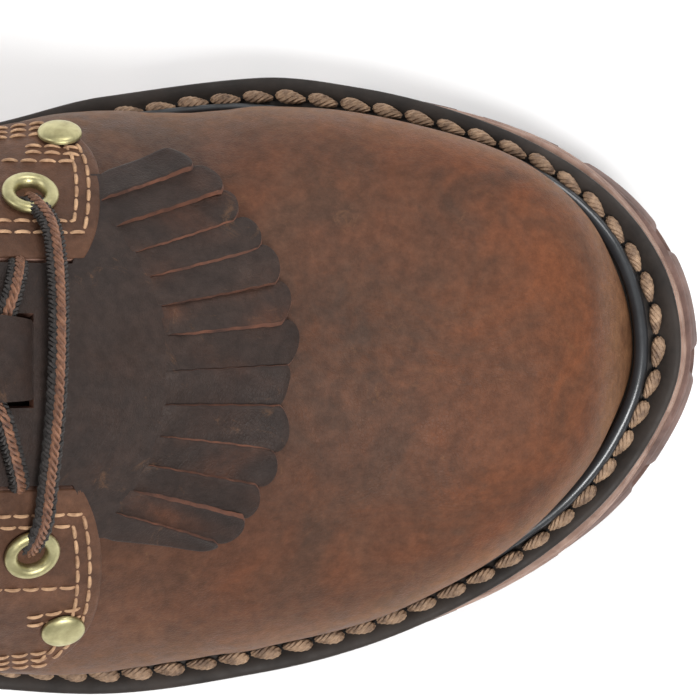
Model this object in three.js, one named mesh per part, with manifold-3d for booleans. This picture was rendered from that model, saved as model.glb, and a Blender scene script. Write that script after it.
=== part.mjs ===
// A right work boot in brown oiled leather, on a lugged sole with a raised heel.
// Millimetres. +X runs to the toe, +Y to the medial side and +Z up.
import * as THREE from 'three';
import { mergeVertices } from 'three/addons/utils/BufferGeometryUtils.js';
import Module from 'manifold-3d';

const wasm = await Module();
wasm.setup();

// Overall sizes
const soleLength = 312;
const ballWidth = 115;
const collarHeight = 254; // at the front of the shaft
const collarDrop = 11; // the collar is lower at the back by this
const heelHeight = 42; // floor to the upper's lower edge at the heel
const forefootHeight = 18; // floor to the upper's lower edge at the ball
const toeSpring = 14;
const instepRise = 84.5; // lower edge to the ridge at the instep
const ankleDepth = 116.5; // back of the heel to the front of the ankle
const ankleWidth = 80;
const shaftWidth = 92;
const toeShift = 4.8; // the toe tip lies this far to the medial side

// Leather
const wall = 2.3;
const gap = 0.3;
const seatGap = 0.5; // between curved layers whose facets differ
const overlay = 2.0;
const sideSwell = 2.6; // how far the vamp bulges over its lower edge

// Where the upper's lower edge lies inside the sole's outline
const toeTuck = 12.4;
const heelTuck = 5;
const sideTuck = 7.2;

// Sole layers
const weltThick = 2.7;
const midsoleThick = 3.7;
const outsoleThick = 5;
const insoleThick = 4;

// The sole's half widths from its own axis, as shares of the ball width.
// along runs from 0 at the heel to 1 at the toe.
const soleRows = [
  { along: 0, medial: 0, lateral: 0 },
  { along: 0.054, medial: 0.261, lateral: 0.287 },
  { along: 0.141, medial: 0.33, lateral: 0.361 },
  { along: 0.247, medial: 0.322, lateral: 0.374 },
  { along: 0.391, medial: 0.322, lateral: 0.435 },
  { along: 0.487, medial: 0.352, lateral: 0.483 },
  { along: 0.584, medial: 0.411, lateral: 0.515 },
  { along: 0.644, medial: 0.45, lateral: 0.524 },
  { along: 0.739, medial: 0.471, lateral: 0.5 },
  { along: 0.798, medial: 0.447, lateral: 0.47 },
  { along: 0.87, medial: 0.395, lateral: 0.407 },
  { along: 0.941, medial: 0.3, lateral: 0.292 },
  { along: 0.989, medial: 0.145, lateral: 0.121 },
  { along: 1, medial: 0, lateral: 0 },
];

// The upper's ribs. station runs from 0 at the toe to 1 at the heel and 2 at the collar.
// ahead: place of the rib's top between the ankle (0) and the toe (1).
// rise: height of its top over the lower edge, as a share of the instep rise.
// belly: height of the widest place, as a share of the rib.
// crest: the curve over the widest place. 2 is an ellipse, more is boxier, less is a tent.
// under: the same for the curve below it.
const ribRows = [
  { station: 0, ahead: 1, rise: 0, belly: 0.34, crest: 2.3, under: 2 },
  { station: 0.1, ahead: 0.962, rise: 0.243, belly: 0.32, crest: 2.35, under: 2 },
  { station: 0.15, ahead: 0.912, rise: 0.343, belly: 0.3, crest: 2.3, under: 2 },
  { station: 0.2, ahead: 0.845, rise: 0.405, belly: 0.27, crest: 2.2, under: 2 },
  { station: 0.25, ahead: 0.761, rise: 0.468, belly: 0.25, crest: 2.05, under: 2 },
  { station: 0.3, ahead: 0.654, rise: 0.556, belly: 0.24, crest: 1.88, under: 2 },
  { station: 0.35, ahead: 0.536, rise: 0.663, belly: 0.24, crest: 1.7, under: 2 },
  { station: 0.4, ahead: 0.424, rise: 0.787, belly: 0.26, crest: 1.58, under: 2 },
  { station: 0.5, ahead: 0.244, rise: 1, belly: 0.31, crest: 1.55, under: 2 },
  { station: 0.6, ahead: 0.138, rise: 1.1, belly: 0.37, crest: 1.6, under: 2 },
  { station: 0.7, ahead: 0.065, rise: 1.207, belly: 0.43, crest: 1.7, under: 2.05 },
  { station: 0.8, ahead: 0.028, rise: 1.311, belly: 0.48, crest: 1.85, under: 2.2 },
  { station: 0.9, ahead: 0.008, rise: 1.405, belly: 0.51, crest: 1.95, under: 2.6 },
  { station: 1, ahead: 0, rise: 1.482, belly: 0.53, crest: 2.05, under: 2.9 },
  { station: 1.5, ahead: 0, rise: 1.482, belly: 0.51, crest: 2.15, under: 2.3 },
  { station: 2, ahead: 0, rise: 1.482, belly: 0.5, crest: 2.15, under: 2.15 },
];

// The shaft above the heel. up and front: shares of the way up the back seam and the front.
// hollow: how far the back seam lies in front of the heel point, as a share of the ankle depth.
// lean: how far the front lies behind the ankle's front, as a share of the ankle depth.
const shaftRows = [
  { station: 1, up: 0, front: 0, hollow: 0, lean: 0 },
  { station: 1.15, up: 0.09, front: 0.13, hollow: -0.033, lean: 0.009 },
  { station: 1.3, up: 0.21, front: 0.27, hollow: -0.018, lean: 0.017 },
  { station: 1.45, up: 0.33, front: 0.4, hollow: 0.03, lean: 0.021 },
  { station: 1.6, up: 0.465, front: 0.53, hollow: 0.06, lean: 0.023 },
  { station: 1.75, up: 0.62, front: 0.67, hollow: 0.062, lean: 0.021 },
  { station: 1.9, up: 0.82, front: 0.85, hollow: 0.03, lean: 0.013 },
  { station: 2, up: 1, front: 1, hollow: 0, lean: 0 },
];

const leather = { color: 0x6b4636, roughness: 0.62 };
const darkLeather = { color: 0x4b423d, roughness: 0.7 };
const rubber = { color: 0x1d1a19, roughness: 0.75 };
const brownLayer = { color: 0x8a6a58, roughness: 0.8 };
const paleLeather = { color: 0xb89470, roughness: 0.8 };
const brass = { color: 0xcdbf8a, roughness: 0.35, metalness: 1 };
const cord = { color: 0x3a2c24, roughness: 0.8 };

// Curves through tables
function curve(rows, column, key = 'station') {
  const at = rows.map((row) => row[key]);
  const value = rows.map((row) => row[column]);
  const last = at.length - 1;
  const rise = at.slice(1).map((x, i) => (value[i + 1] - value[i]) / (x - at[i]));
  const slope = at.map((_, i) => {
    if (i === 0) return rise[0];
    if (i === last) return rise[last - 1];
    const turns = rise[i - 1] * rise[i] <= 0;
    return turns ? 0 : (2 * rise[i - 1] * rise[i]) / (rise[i - 1] + rise[i]);
  });
  return (x) => {
    if (x <= at[0]) return value[0] + (x - at[0]) * slope[0];
    if (x >= at[last]) return value[last] + (x - at[last]) * slope[last];
    let i = 0;
    while (x > at[i + 1]) i += 1;
    const step = at[i + 1] - at[i];
    const t = (x - at[i]) / step;
    const u = 1 - t;
    const ends = value[i] * (1 + 2 * t) * u * u + value[i + 1] * (3 - 2 * t) * t * t;
    return ends + step * (slope[i] * t * u * u - slope[i + 1] * t * t * u);
  };
}

const clamp = (x, low, high) => Math.min(high, Math.max(low, x));
const mix = (a, b, t) => a + (b - a) * t;

function ease(x, from, to) {
  const t = clamp((x - from) / (to - from), 0, 1);
  return t * t * (3 - 2 * t);
}

// The sole's outline. turn is 0 at the heel and 1 at the toe, spaced so that both ends are round.
const turnOf = (along) => Math.acos(1 - 2 * clamp(along, 0, 1)) / Math.PI;
const alongOf = (turn) => (1 - Math.cos(Math.PI * turn)) / 2;
const outlineRows = soleRows.map((row) => ({ ...row, turn: turnOf(row.along) }));
const medialShare = curve(outlineRows, 'medial', 'turn');
const lateralShare = curve(outlineRows, 'lateral', 'turn');
const halfWidth = (turn, side) => ballWidth * (side > 0 ? medialShare(turn) : lateralShare(turn));

// The line that the widths are measured from bends to the medial side at the toe.
const axisY = (x) => toeShift * ease(x / soleLength, 0.6, 1);

// The height of the upper's lower edge over the floor, along the sole
const heelEnd = 0.24;
const ballStart = 0.6;
const ballEnd = 0.72;
function seat(x) {
  const along = x / soleLength;
  const back = (heelHeight - forefootHeight) * (1 - ease(along, heelEnd, ballStart));
  const lift = Math.max(0, (along - ballEnd) / (1 - ballEnd));
  return forefootHeight + back + toeSpring * lift * lift;
}

// The upper's form
const upperToe = soleLength - toeTuck;
const ankleX = heelTuck + ankleDepth;
const tuckShare = 1 - (2 * sideTuck) / ballWidth;
const rib = {};
for (const name of ['ahead', 'rise', 'belly', 'crest', 'under']) rib[name] = curve(ribRows, name);
for (const name of ['up', 'front', 'hollow', 'lean']) rib[name] = curve(shaftRows, name);

function ribAt(station) {
  const foot = Math.min(station, 1);
  const frontX = ankleX + (upperToe - ankleX) * rib.ahead(foot);
  let low = { x: mix(heelTuck, upperToe, alongOf(1 - foot)) };
  low.z = seat(low.x);
  const high = { x: frontX, z: seat(frontX) + instepRise * rib.rise(foot) };
  if (station > 1) {
    const backTop = collarHeight - collarDrop;
    low = { x: heelTuck + ankleDepth * rib.hollow(station), z: mix(low.z, backTop, rib.up(station)) };
    high.x -= ankleDepth * rib.lean(station);
    high.z = mix(high.z, collarHeight, rib.front(station));
  }
  const shaftHalf = mix(ankleWidth, shaftWidth, ease(station, 1.15, 2)) / 2;
  const half = {};
  for (const side of [1, -1]) {
    const base = station < 1 ? halfWidth(1 - foot, side) * tuckShare : 0;
    const full = base + sideSwell * ease(station, 0, 0.3);
    half[side] = { base, full: mix(full, shaftHalf, ease(station, 0.45, 0.82)) };
  }
  const [belly, crest, under] = [rib.belly(station), rib.crest(station), rib.under(station)];
  return { low, high, half, belly, crest, under };
}

// A point of the form. q is 0 on the ridge, 1 at the medial and -1 at the lateral lower edge.
function surface(station, q) {
  const { low, high, half, belly, crest, under } = ribAt(station);
  const side = q < 0 ? -1 : 1;
  const { base, full } = half[side];
  const length = Math.hypot(high.x - low.x, high.z - low.z);
  const wide = Math.max(full, base * 1.001 + 1e-6);
  const middle = Math.max(belly * length, 1e-6);
  const end = Math.atan2(middle, base);
  const angle = Math.PI / 2 - Math.abs(q) * (Math.PI / 2 + end);
  const below = middle / (1 - (base / wide) ** under) ** (1 / under);
  const [reach, power] = angle >= 0 ? [Math.max(length - middle, 1e-6), crest] : [below, under];
  const c = Math.abs(Math.cos(angle));
  const r = ((c / wide) ** power + (Math.abs(Math.sin(angle)) / reach) ** power) ** (-1 / power);
  const across = r * c;
  const up = middle + r * Math.sin(angle);
  const t = length > 0 ? up / length : 0;
  const x = mix(low.x, high.x, t);
  const y = mix(axisY(low.x), axisY(high.x), t) + side * across;
  return new THREE.Vector3(x, y, mix(low.z, high.z, t));
}

// From this station up, a rib's two ends meet on the back seam.
const seamStation = 1;

// The same point, moved out along the surface's normal
function onForm(station, q, offset = 0) {
  const s = Math.max(station, 0.01);
  const step = 1e-3;
  const a = surface(s + step, q).sub(surface(s - step, q));
  const inner = clamp(q, -1 + step, 1 - step);
  const b = surface(s, inner + step).sub(surface(s, inner - step));
  const here = surface(station, q);
  if (station >= seamStation && Math.abs(q) === 1) {
    const up = surface(station + step, q).sub(here);
    here.y = 0;
    return here.addScaledVector(new THREE.Vector3(-up.z, 0, up.x).normalize(), offset);
  }
  return here.addScaledVector(b.cross(a).normalize(), offset);
}

// The q where a rib is y away from its middle, on the front or on the back half
function qAt(station, y, onBack = false) {
  const side = y < 0 ? -1 : 1;
  const middle = surface(station, 0).y;
  let [low, high] = onBack ? [1, 0.5] : [0, 0.62];
  for (let i = 0; i < 30; i += 1) {
    const q = (low + high) / 2;
    const away = Math.abs(surface(station, side * q).y - middle);
    if (away < Math.abs(y)) low = q;
    else high = q;
  }
  return (side * (low + high)) / 2;
}

// The station and q of the surface point over a place in plan
function locate(x, y) {
  let s = 0.4;
  let q = 0.1;
  const step = 1e-4;
  for (let i = 0; i < 25; i += 1) {
    const p = surface(s, q);
    const ds = surface(s + step, q).sub(p).divideScalar(step);
    const dq = surface(s, q + step).sub(p).divideScalar(step);
    const det = ds.x * dq.y - ds.y * dq.x;
    const ex = x - p.x;
    const ey = y - p.y;
    s = clamp(s + clamp((ex * dq.y - ey * dq.x) / det, -0.1, 0.1), 0.05, 0.95);
    q = clamp(q + clamp((ey * ds.x - ex * ds.y) / det, -0.2, 0.2), -0.9, 0.9);
  }
  return [s, q];
}

const over = (x, y, offset) => onForm(...locate(x, y), offset);

// Closed meshes
function meshFrom(points, faces) {
  const geometry = new THREE.BufferGeometry();
  const flat = points.flatMap((p) => [p.x, p.y, p.z]);
  geometry.setAttribute('position', new THREE.Float32BufferAttribute(flat, 3));
  geometry.setIndex(faces.flat());
  return geometry;
}

function toSolid(geometry) {
  const bare = geometry.clone();
  for (const name of ['normal', 'uv']) bare.deleteAttribute(name);
  const merged = mergeVertices(bare, 1e-3);
  const index = [];
  const all = merged.index.array;
  for (let i = 0; i < all.length; i += 3) {
    const [a, b, c] = all.slice(i, i + 3);
    if (a !== b && b !== c && c !== a) index.push(a, b, c);
  }
  const vertProperties = new Float32Array(merged.attributes.position.array);
  const triVerts = new Uint32Array(index);
  return new wasm.Manifold(new wasm.Mesh({ numProp: 3, vertProperties, triVerts }));
}

function toGeometry(solid) {
  const { vertProperties, triVerts } = solid.getMesh();
  const geometry = new THREE.BufferGeometry();
  geometry.setAttribute('position', new THREE.Float32BufferAttribute(vertProperties, 3));
  geometry.setIndex(Array.from(triVerts));
  return geometry;
}

const join = (solids) => solids.reduce((a, b) => a.add(b));

// A closed skin between two grids of points. open(i) leaves the sides of row i unclosed.
function slab(outer, inner, open = () => false) {
  const rows = outer.length;
  const columns = outer[0].length;
  const last = columns - 1;
  const end = rows - 1;
  const top = (i, j) => i * columns + j;
  const under = (i, j) => rows * columns + top(i, j);
  const faces = [];
  const quad = (a, b, c, d) => faces.push([a, b, c], [a, c, d]);
  for (let i = 0; i < end; i += 1) {
    for (let j = 0; j < last; j += 1) {
      quad(top(i, j), top(i + 1, j), top(i + 1, j + 1), top(i, j + 1));
      quad(under(i, j), under(i, j + 1), under(i + 1, j + 1), under(i + 1, j));
    }
    if (open(i)) continue;
    quad(top(i, 0), under(i, 0), under(i + 1, 0), top(i + 1, 0));
    quad(top(i, last), top(i + 1, last), under(i + 1, last), under(i, last));
  }
  for (let j = 0; j < last; j += 1) {
    quad(top(0, j), top(0, j + 1), under(0, j + 1), under(0, j));
    quad(top(end, j), under(end, j), under(end, j + 1), top(end, j + 1));
  }
  return meshFrom([...outer.flat(), ...inner.flat()], faces);
}

const spread = (from, to, count) => Array.from({ length: count }, (_, i) => mix(from, to, i / (count - 1)));

// A leather panel on the form. place gives the station and q of each row and column.
function panel(rows, columns, place, low, high) {
  const grid = (offset) => rows.map((s) => columns.map((v) => onForm(...place(s, v), offset)));
  return slab(grid(high), grid(low));
}

// The upper: one shell with its wall inside the form
const throatHalf = 20.2;
const throatFront = 196 / 312; // share of the sole's length

function throatCutter() {
  const back = ankleX - ankleDepth / 2;
  const front = soleLength * throatFront - throatHalf;
  const slot = new THREE.Shape();
  slot.moveTo(back, -throatHalf);
  slot.lineTo(front, -throatHalf);
  slot.absarc(front, 0, throatHalf, -Math.PI / 2, Math.PI / 2, false);
  slot.lineTo(back, throatHalf);
  const depth = collarHeight;
  const geometry = new THREE.ExtrudeGeometry(slot, { depth, bevelEnabled: false, curveSegments: 8 });
  geometry.translate(0, 0, forefootHeight + instepRise / 2);
  return toSolid(geometry);
}

const upperStations = [
  0, 0.04, 0.08, 0.12, 0.16, 0.2, 0.245, 0.29, 0.335, 0.385, 0.43, 0.48, 0.54, 0.6, 0.66, 0.72, 0.8, 0.88,
  0.94, 0.97, 1, 1.14, 1.28, 1.42, 1.58, 1.74, 1.88, 2,
];
const upperColumns = spread(1, -1, 17);
const onSeam = (stations) => (i) => stations[i] >= seamStation;
const formGrid = (stations, offset) => stations.map((s) => upperColumns.map((q) => onForm(s, q, offset)));

function upperSolid() {
  const shell = slab(formGrid(upperStations, 0), formGrid(upperStations, -wall), onSeam(upperStations));
  return toSolid(shell).subtract(throatCutter()).subtract(ground(seatGap));
}

// The whole form as one filled body, to cut what lies on it or in it
const formTop = 2.12;
function formSolid(offset) {
  const stations = [...upperStations, formTop];
  const outer = formGrid(stations, offset);
  const core = outer.map((row) => {
    const seam = row[0].clone().add(row[row.length - 1]).multiplyScalar(0.5);
    return row.map(() => seam);
  });
  return toSolid(slab(outer, core, onSeam(stations)));
}

// What lies on the upper is cut by its form, grown by the gap.
const formUnder = formSolid(gap);

// Panels over the upper
const overHigh = gap + overlay;
const eyestayHalf = 19.4; // the lacing line to the eyestay's edge
const quarterFront = 0.386; // station of the quarter's front edge
const quarterBack = 1.8; // the quarter's last row, before it follows the band's edge
const shaftStart = 1.4; // above this station its rows turn parallel to the band
const backStayHalf = 9;
const seamGap = 0.4;
const seamStep = 0.004; // the same gap, in stations
const seamDrop = 1; // the counter's top edge lies this far below the quarter

// Height of the seam under the quarters, over the floor, as a share of the instep rise
const seamRows = [
  { station: 0.38, height: 0.56 },
  { station: 0.5, height: 0.6 },
  { station: 0.6, height: 0.7 },
  { station: 0.7, height: 0.83 },
  { station: 0.8, height: 0.94 },
  { station: 0.9, height: 1.01 },
  { station: 1, height: 1.04 },
  { station: 1.3, height: 1.06 },
];
const seamHeight = curve(seamRows, 'height');

// The q where a rib crosses a height, or its end where all of it lies higher
function qUnder(station, side, height) {
  let [low, high] = [0, 1];
  for (let i = 0; i < 30; i += 1) {
    const q = (low + high) / 2;
    if (surface(station, side * q).z > height) low = q;
    else high = q;
  }
  return low;
}

const seamQ = (station, side, drop = 0) =>
  qUnder(station, side, instepRise * seamHeight(station) - drop);

// The collar band's lower edge runs parallel to the collar.
const bandFront = 1.8; // stations of that edge on the ridge and on the back seam
const bandBack = 1.93;
const bandEdge = (q) => mix(bandFront, bandBack, Math.abs(q));

// A panel that lies on the upper
function overPanel(rows, columns, place) {
  return toSolid(panel(rows, columns, place, -overlay / 2, overHigh)).subtract(formUnder);
}

// The corners of the front edge are rounded by moving the front rows back a little.
function frontShift(s, v) {
  const fade = 1 - ease(s, quarterFront, quarterFront + 0.2);
  return fade * (0.03 * v ** 5 + 0.007 * (1 - v) ** 8);
}

// The quarters and the counter share these stations along their seam.
const heelRows = [0.64, 0.72, 0.8, 0.88, 0.94, 1, 1.08, 1.16, 1.22, 1.27, 1.32];
const counterFront = heelRows[0];
const counterTop = heelRows[heelRows.length - 1];

function quarterSolid(side) {
  const rows = [quarterFront, 0.41, 0.45, 0.5, 0.56, ...heelRows, shaftStart, 1.56, 1.68, quarterBack];
  const across = (station, v) => {
    const front = qAt(station, side * eyestayHalf);
    if (station < 1) return mix(front, side * seamQ(station, side), v);
    const back = Math.abs(qAt(station, backStayHalf + seamGap, true));
    return mix(front, side * Math.min(seamQ(station, side), back), v);
  };
  const place = (s, v) => {
    let station = s + frontShift(s, v);
    if (s > shaftStart) {
      const share = (s - shaftStart) / (quarterBack - shaftStart);
      station = mix(shaftStart, bandEdge(across(s, v)) - seamStep, share);
    }
    return [station, across(station, v)];
  };
  const columns = side > 0 ? spread(1, 0, 7) : spread(0, 1, 7);
  return overPanel(rows, columns, place);
}

// Both halves of a piece that wraps the back seam
function wrap(rows, count, placeOn) {
  const half = (side) => {
    const columns = side > 0 ? spread(1, 0, count) : spread(0, 1, count);
    return overPanel(rows, columns, placeOn(side));
  };
  return half(1).add(half(-1));
}

function counterSolid() {
  const slant = (s) => 0.12 * (1 - ease(s, counterFront, counterFront + 0.12));
  const fromQ = (s, side) => Math.min(0.99, seamQ(s, side, seamDrop) + slant(s));
  const counter = wrap(heelRows.slice(0, -1), 5, (side) => (s, v) => [s, side * mix(fromQ(s, side), 1, v)]);
  return counter.subtract(ground(seatGap));
}

function backStaySolid() {
  const rows = [counterTop + 0.02, 1.45, 1.6, 1.75, bandBack - 2 * seamStep];
  return wrap(rows, 3, (side) => (s, v) => [s, side * mix(Math.abs(qAt(s, backStayHalf, true)), 1, v)]);
}

function collarBandSolid() {
  const top = 2;
  return wrap([0, 0.5, 1], 9, (side) => (u, v) => {
    const q = side * mix(Math.abs(qAt(top, eyestayHalf)), 1, v);
    const s = mix(bandEdge(q), top, u);
    return [s, side * mix(Math.abs(qAt(s, eyestayHalf)), 1, v)];
  });
}

// Tongue
const tongueHalf = 33;
const tongueThick = 2.6;
const tongueTop = 2.06; // station, just above the collar
const tongueFront = 0.36;
function tongueSolid() {
  const rows = [
    tongueFront, 0.42, 0.48, 0.54, 0.6, 0.68, 0.76, 0.84, 0.92, 1, 1.1, 1.2, 1.32, 1.44, 1.56, 1.68, 1.8,
    1.92, 2, tongueTop,
  ];
  const high = -wall - gap;
  const place = (s, v) => {
    const round = s > 1.9 ? Math.sqrt(1 - (0.55 * (s - 1.9)) / (tongueTop - 1.9)) : 1;
    const narrow = mix(0.8, 1, ease(s, tongueFront, 0.6));
    return [s, qAt(s, v * tongueHalf * round * narrow || 1e-6)];
  };
  const leather = toSolid(panel(rows, spread(1, -1, 7), place, high - tongueThick, high + 1));
  return leather.intersect(formSolid(high));
}

// False tongue: a neck between the eyestays and a fan of strips in front of them
const fringeThick = 1.8;
const fringeCount = 13;
const fringeShift = 3.3; // the fan's middle lies this far to the medial side
const fringeSlit = 0.8;
const rootHalf = 32.7;
const rootFront = 215.2;
const rootBow = 14.6;
const tipHalf = 40;
const tipFront = 237.3;
const tipBow = 20.2;
const neckBack = 150;
const neckHalf = eyestayHalf - 0.8;
const fanBack = 205;
const laceSlots = { medial: 9.2, lateral: -4.5, front: 191, back: 168, wide: 1.6 };

const fringeHigh = gap + fringeThick;

function leaf(rows, columns, place) {
  const grid = (offset) => rows.map((u) => columns.map((v) => over(...place(u, v), offset)));
  return toSolid(slab(grid(fringeHigh), grid(-fringeThick / 2)));
}

const rootAt = (t) => [Math.max(fanBack + 1, rootFront - rootBow * t * t), fringeShift + rootHalf * t];
const tipAt = (t) => [tipFront - tipBow * t * t, fringeShift + tipHalf * t];

function fringeSolid() {
  const solids = [];
  const across = spread(1, -1, 8);
  solids.push(leaf(spread(fanBack + 4, neckBack, 7), spread(1, -1, 5), (x, v) => [x, neckHalf * v]));
  const fan = (u, v) => {
    const [x, y] = rootAt(v * 0.98);
    return [mix(x + 1, fanBack, u), y];
  };
  solids.push(leaf([0, 1], across, fan));
  const step = 2 / fringeCount;
  for (let i = 0; i < fringeCount; i += 1) {
    const middle = 1 - step * (i + 0.5);
    const rows = [1, 0.92, 0.75, 0];
    const place = (u, v) => {
      const round = Math.sqrt(Math.max(0.12, 1 - Math.max(0, (u - 0.8) / 0.2) ** 2));
      const t = middle + (v * step * round) / 2;
      const [rx, ry] = rootAt(t);
      const [tx, ty] = tipAt(t);
      const [cx] = tipAt(middle);
      const half = (v * round * fringeSlit) / 2;
      return [mix(rx - 0.5, mix(tx, cx, 0.5), u), mix(ry, ty, u) - half];
    };
    solids.push(leaf(rows, [1, -1], place));
  }
  let whole = join(solids).subtract(formUnder);
  for (const y of [laceSlots.medial, laceSlots.lateral]) {
    const long = laceSlots.front - laceSlots.back;
    const box = new THREE.BoxGeometry(long, laceSlots.wide, collarHeight);
    box.translate(laceSlots.back + long / 2, y, collarHeight / 2);
    whole = whole.subtract(toSolid(box));
  }
  return whole;
}

// Eyelets and rivets
const eyeletPitch = 25.5;
const eyeletLine = 30; // lacing line to the eyelets
const eyeletFront = 13.2; // quarter's front edge to the first pair
const eyeletOuter = 5.2;
const eyeletHole = 2.6;
const eyeletBarrel = 3;
const eyeletHeight = 1.1;
const eyeletSeat = 0.7; // the flat flange clears the hollow at the ankle by this
const eyeletPairs = 8;

// Stations of the pairs, found by walking up the eyestay.
function eyeletStations() {
  const found = [];
  let s = quarterFront;
  let walked = 0;
  let here = onForm(s, qAt(s, eyeletLine), overHigh);
  while (found.length < eyeletPairs && s < quarterBack) {
    s += 0.002;
    const next = onForm(s, qAt(s, eyeletLine), overHigh);
    walked += next.distanceTo(here);
    here = next;
    if (walked >= eyeletFront + eyeletPitch * found.length) found.push(s);
  }
  return found;
}

// A piece turned on +Y, set on the surface with +Y along its normal
function seated(geometry, station, q, offset) {
  const foot = onForm(station, q, offset);
  const normal = onForm(station, q, offset + 1).sub(foot);
  const turn = new THREE.Quaternion().setFromUnitVectors(new THREE.Vector3(0, 1, 0), normal.normalize());
  return geometry.clone().applyQuaternion(turn).translate(foot.x, foot.y, foot.z);
}

const round = (profile, segments) =>
  new THREE.LatheGeometry(profile.map(([r, h]) => new THREE.Vector2(r, h)), segments);

function eyeletGeometry() {
  const deep = -(wall + overHigh + eyeletSeat - 2 * gap);
  return round(
    [
      [eyeletHole, deep],
      [eyeletBarrel, deep],
      [eyeletBarrel, 0],
      [eyeletOuter, 0],
      [eyeletOuter - 0.6, eyeletHeight],
      [eyeletHole + 0.3, eyeletHeight],
      [eyeletHole, deep],
    ],
    7,
  );
}

const rivetRadius = 4;
const rivetHeight = 2;
const rivetPlace = { station: 0.406, q: 0.578 };
function rivetGeometry() {
  const r = rivetRadius;
  const h = rivetHeight;
  return round([[0, 0], [r, 0], [r * 0.95, h * 0.4], [r * 0.6, h * 0.85], [0, h]], 12);
}

// Lace
const laceRadius = 1.8;
const laceReach = eyeletLine - eyeletOuter - 2 * gap; // lacing line to the end of each arm
const laceOffset = overHigh + 4 * gap + laceRadius;

function laceArm(from, to) {
  const points = spread(0, 1, 5).map((t) => {
    const s = mix(from.station, to.station, t);
    return onForm(s, qAt(s, mix(from.y, to.y, t) || 1e-6), laceOffset);
  });
  const section = new THREE.Shape();
  section.absarc(0, 0, laceRadius, 0, 2 * Math.PI, false);
  const extrudePath = new THREE.CatmullRomCurve3(points);
  return toSolid(new THREE.ExtrudeGeometry(section, { steps: 4, curveSegments: 3, extrudePath }));
}

function laceSolid(stations) {
  const end = (i, side) => ({ station: stations[i], y: side * laceReach });
  const arms = [laceArm(end(0, 1), end(0, -1))];
  for (let i = 0; i + 1 < stations.length; i += 1) {
    arms.push(laceArm(end(i, 1), end(i + 1, -1)), laceArm(end(i, -1), end(i + 1, 1)));
  }
  return join(arms);
}

// Sole
const endHalf = 18; // near the ends, an inset shrinks with the half width

// A point of an outline. base 'sole' is the sole's edge and 'upper' the upper's lower edge.
function edge(base, turn, side, inset, toeInset = inset) {
  const isSole = base === 'sole';
  const heelX = (isSole ? 0 : heelTuck) + inset;
  const toeX = (isSole ? soleLength : upperToe) - toeInset;
  const x = mix(heelX, toeX, alongOf(turn));
  const wide = halfWidth(turn, side) * (isSole ? 1 : tuckShare);
  return { x, y: axisY(x) + side * (wide - inset * Math.min(1, wide / endHalf)) };
}

const at = ({ x, y }, z) => new THREE.Vector3(x, y, z);

const layerCount = 30; // sections along each layer of the sole

// A layer of the sole between two heights, over a range of turns
function plate(shape) {
  const { base = 'sole', from = 0, to = 1, count = layerCount } = shape;
  const { inset, toeInset, low = inset, top, bottom } = shape;
  const turns = spread(to, from, count);
  const grid = (height, into, toeInto) =>
    turns.map((turn) =>
      [1, 0, -1].map((side) => {
        const p = edge(base, turn, side || 1, into, toeInto);
        if (side === 0) p.y = axisY(p.x);
        return at(p, height(p.x));
      }),
    );
  return toSolid(slab(grid(top, inset, toeInset), grid(bottom, low, toeInset)));
}

const weltTop = (x) => seat(x);
const weltBottom = (x) => seat(x) - weltThick;
const midsoleTop = (x) => weltBottom(x) - gap;
const midsoleBottom = (x) => midsoleTop(x) - midsoleThick;
const outsoleTop = (x) => midsoleBottom(x) - gap;
const outsoleBottom = (x) => outsoleTop(x) - outsoleThick;
const treadBottom = (x) => seat(x) - forefootHeight;

// Everything below the welt's top, to trim panels that reach it
function ground(clearance) {
  return plate({ inset: -20, count: 2 * layerCount, top: (x) => seat(x) + clearance, bottom: () => -20 });
}

const weltEdge = { inset: 1, toeInset: 3.5 };
const weltInner = wall + 0.5;
const insoleInner = wall + 1.3;
const midsoleEdge = { inset: 1.2, toeInset: 3 };
const outsoleEdge = { inset: 2, toeInset: 2 };

// A ring round the upper's lower edge, from its outer and inner outlines
function weltSolid() {
  const turns = spread(0, 1, layerCount);
  const round = [
    ...turns.map((turn) => [turn, 1]),
    ...turns.slice(1, -1).reverse().map((turn) => [turn, -1]),
  ];
  const rings = round.map(([turn, side]) => {
    const out = edge('sole', turn, side, weltEdge.inset, weltEdge.toeInset);
    const into = edge('upper', turn, side, weltInner);
    return [
      at(out, weltTop(out.x)),
      at(into, weltTop(into.x)),
      at(into, weltBottom(into.x)),
      at(out, weltBottom(out.x)),
    ];
  });
  const faces = [];
  rings.forEach((_, i) => {
    const next = (i + 1) % rings.length;
    for (let j = 0; j < 4; j += 1) {
      const k = (j + 1) % 4;
      const [a, b, c, d] = [i * 4 + j, next * 4 + j, next * 4 + k, i * 4 + k];
      faces.push([a, c, b], [a, d, c]);
    }
  });
  return toSolid(meshFrom(rings.flat(), faces));
}

// The bead lies on the welt against the upper, from the waist round the toe.
const beadRadius = 1.2;
const beadInset = -2.3;
const beadFrom = 0.4; // turn
function beadSolid() {
  const turns = spread(beadFrom, 1, 24);
  const path = [...turns.map((turn) => [turn, 1]), ...turns.slice(0, -1).reverse().map((turn) => [turn, -1])];
  const points = path.map(([turn, side]) => {
    const p = edge('upper', turn, side, beadInset);
    return at(p, weltTop(p.x) + seatGap + beadRadius);
  });
  const section = new THREE.Shape();
  section.absarc(0, 0, beadRadius, 0, 2 * Math.PI, false);
  const extrudePath = new THREE.CatmullRomCurve3(points);
  return toSolid(new THREE.ExtrudeGeometry(section, { steps: 48, curveSegments: 3, extrudePath }));
}

// Outsole with lugs: side lugs at the edge and blocks down the middle, parted by grooves
const lugPitch = 19;
const grooveWide = 5;
const channelWide = 5;
const channelAway = 21;
const treadFrom = 0.53; // share of the sole's length
const heelShare = 0.285;
const grooveTilt = 0.3;

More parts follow.
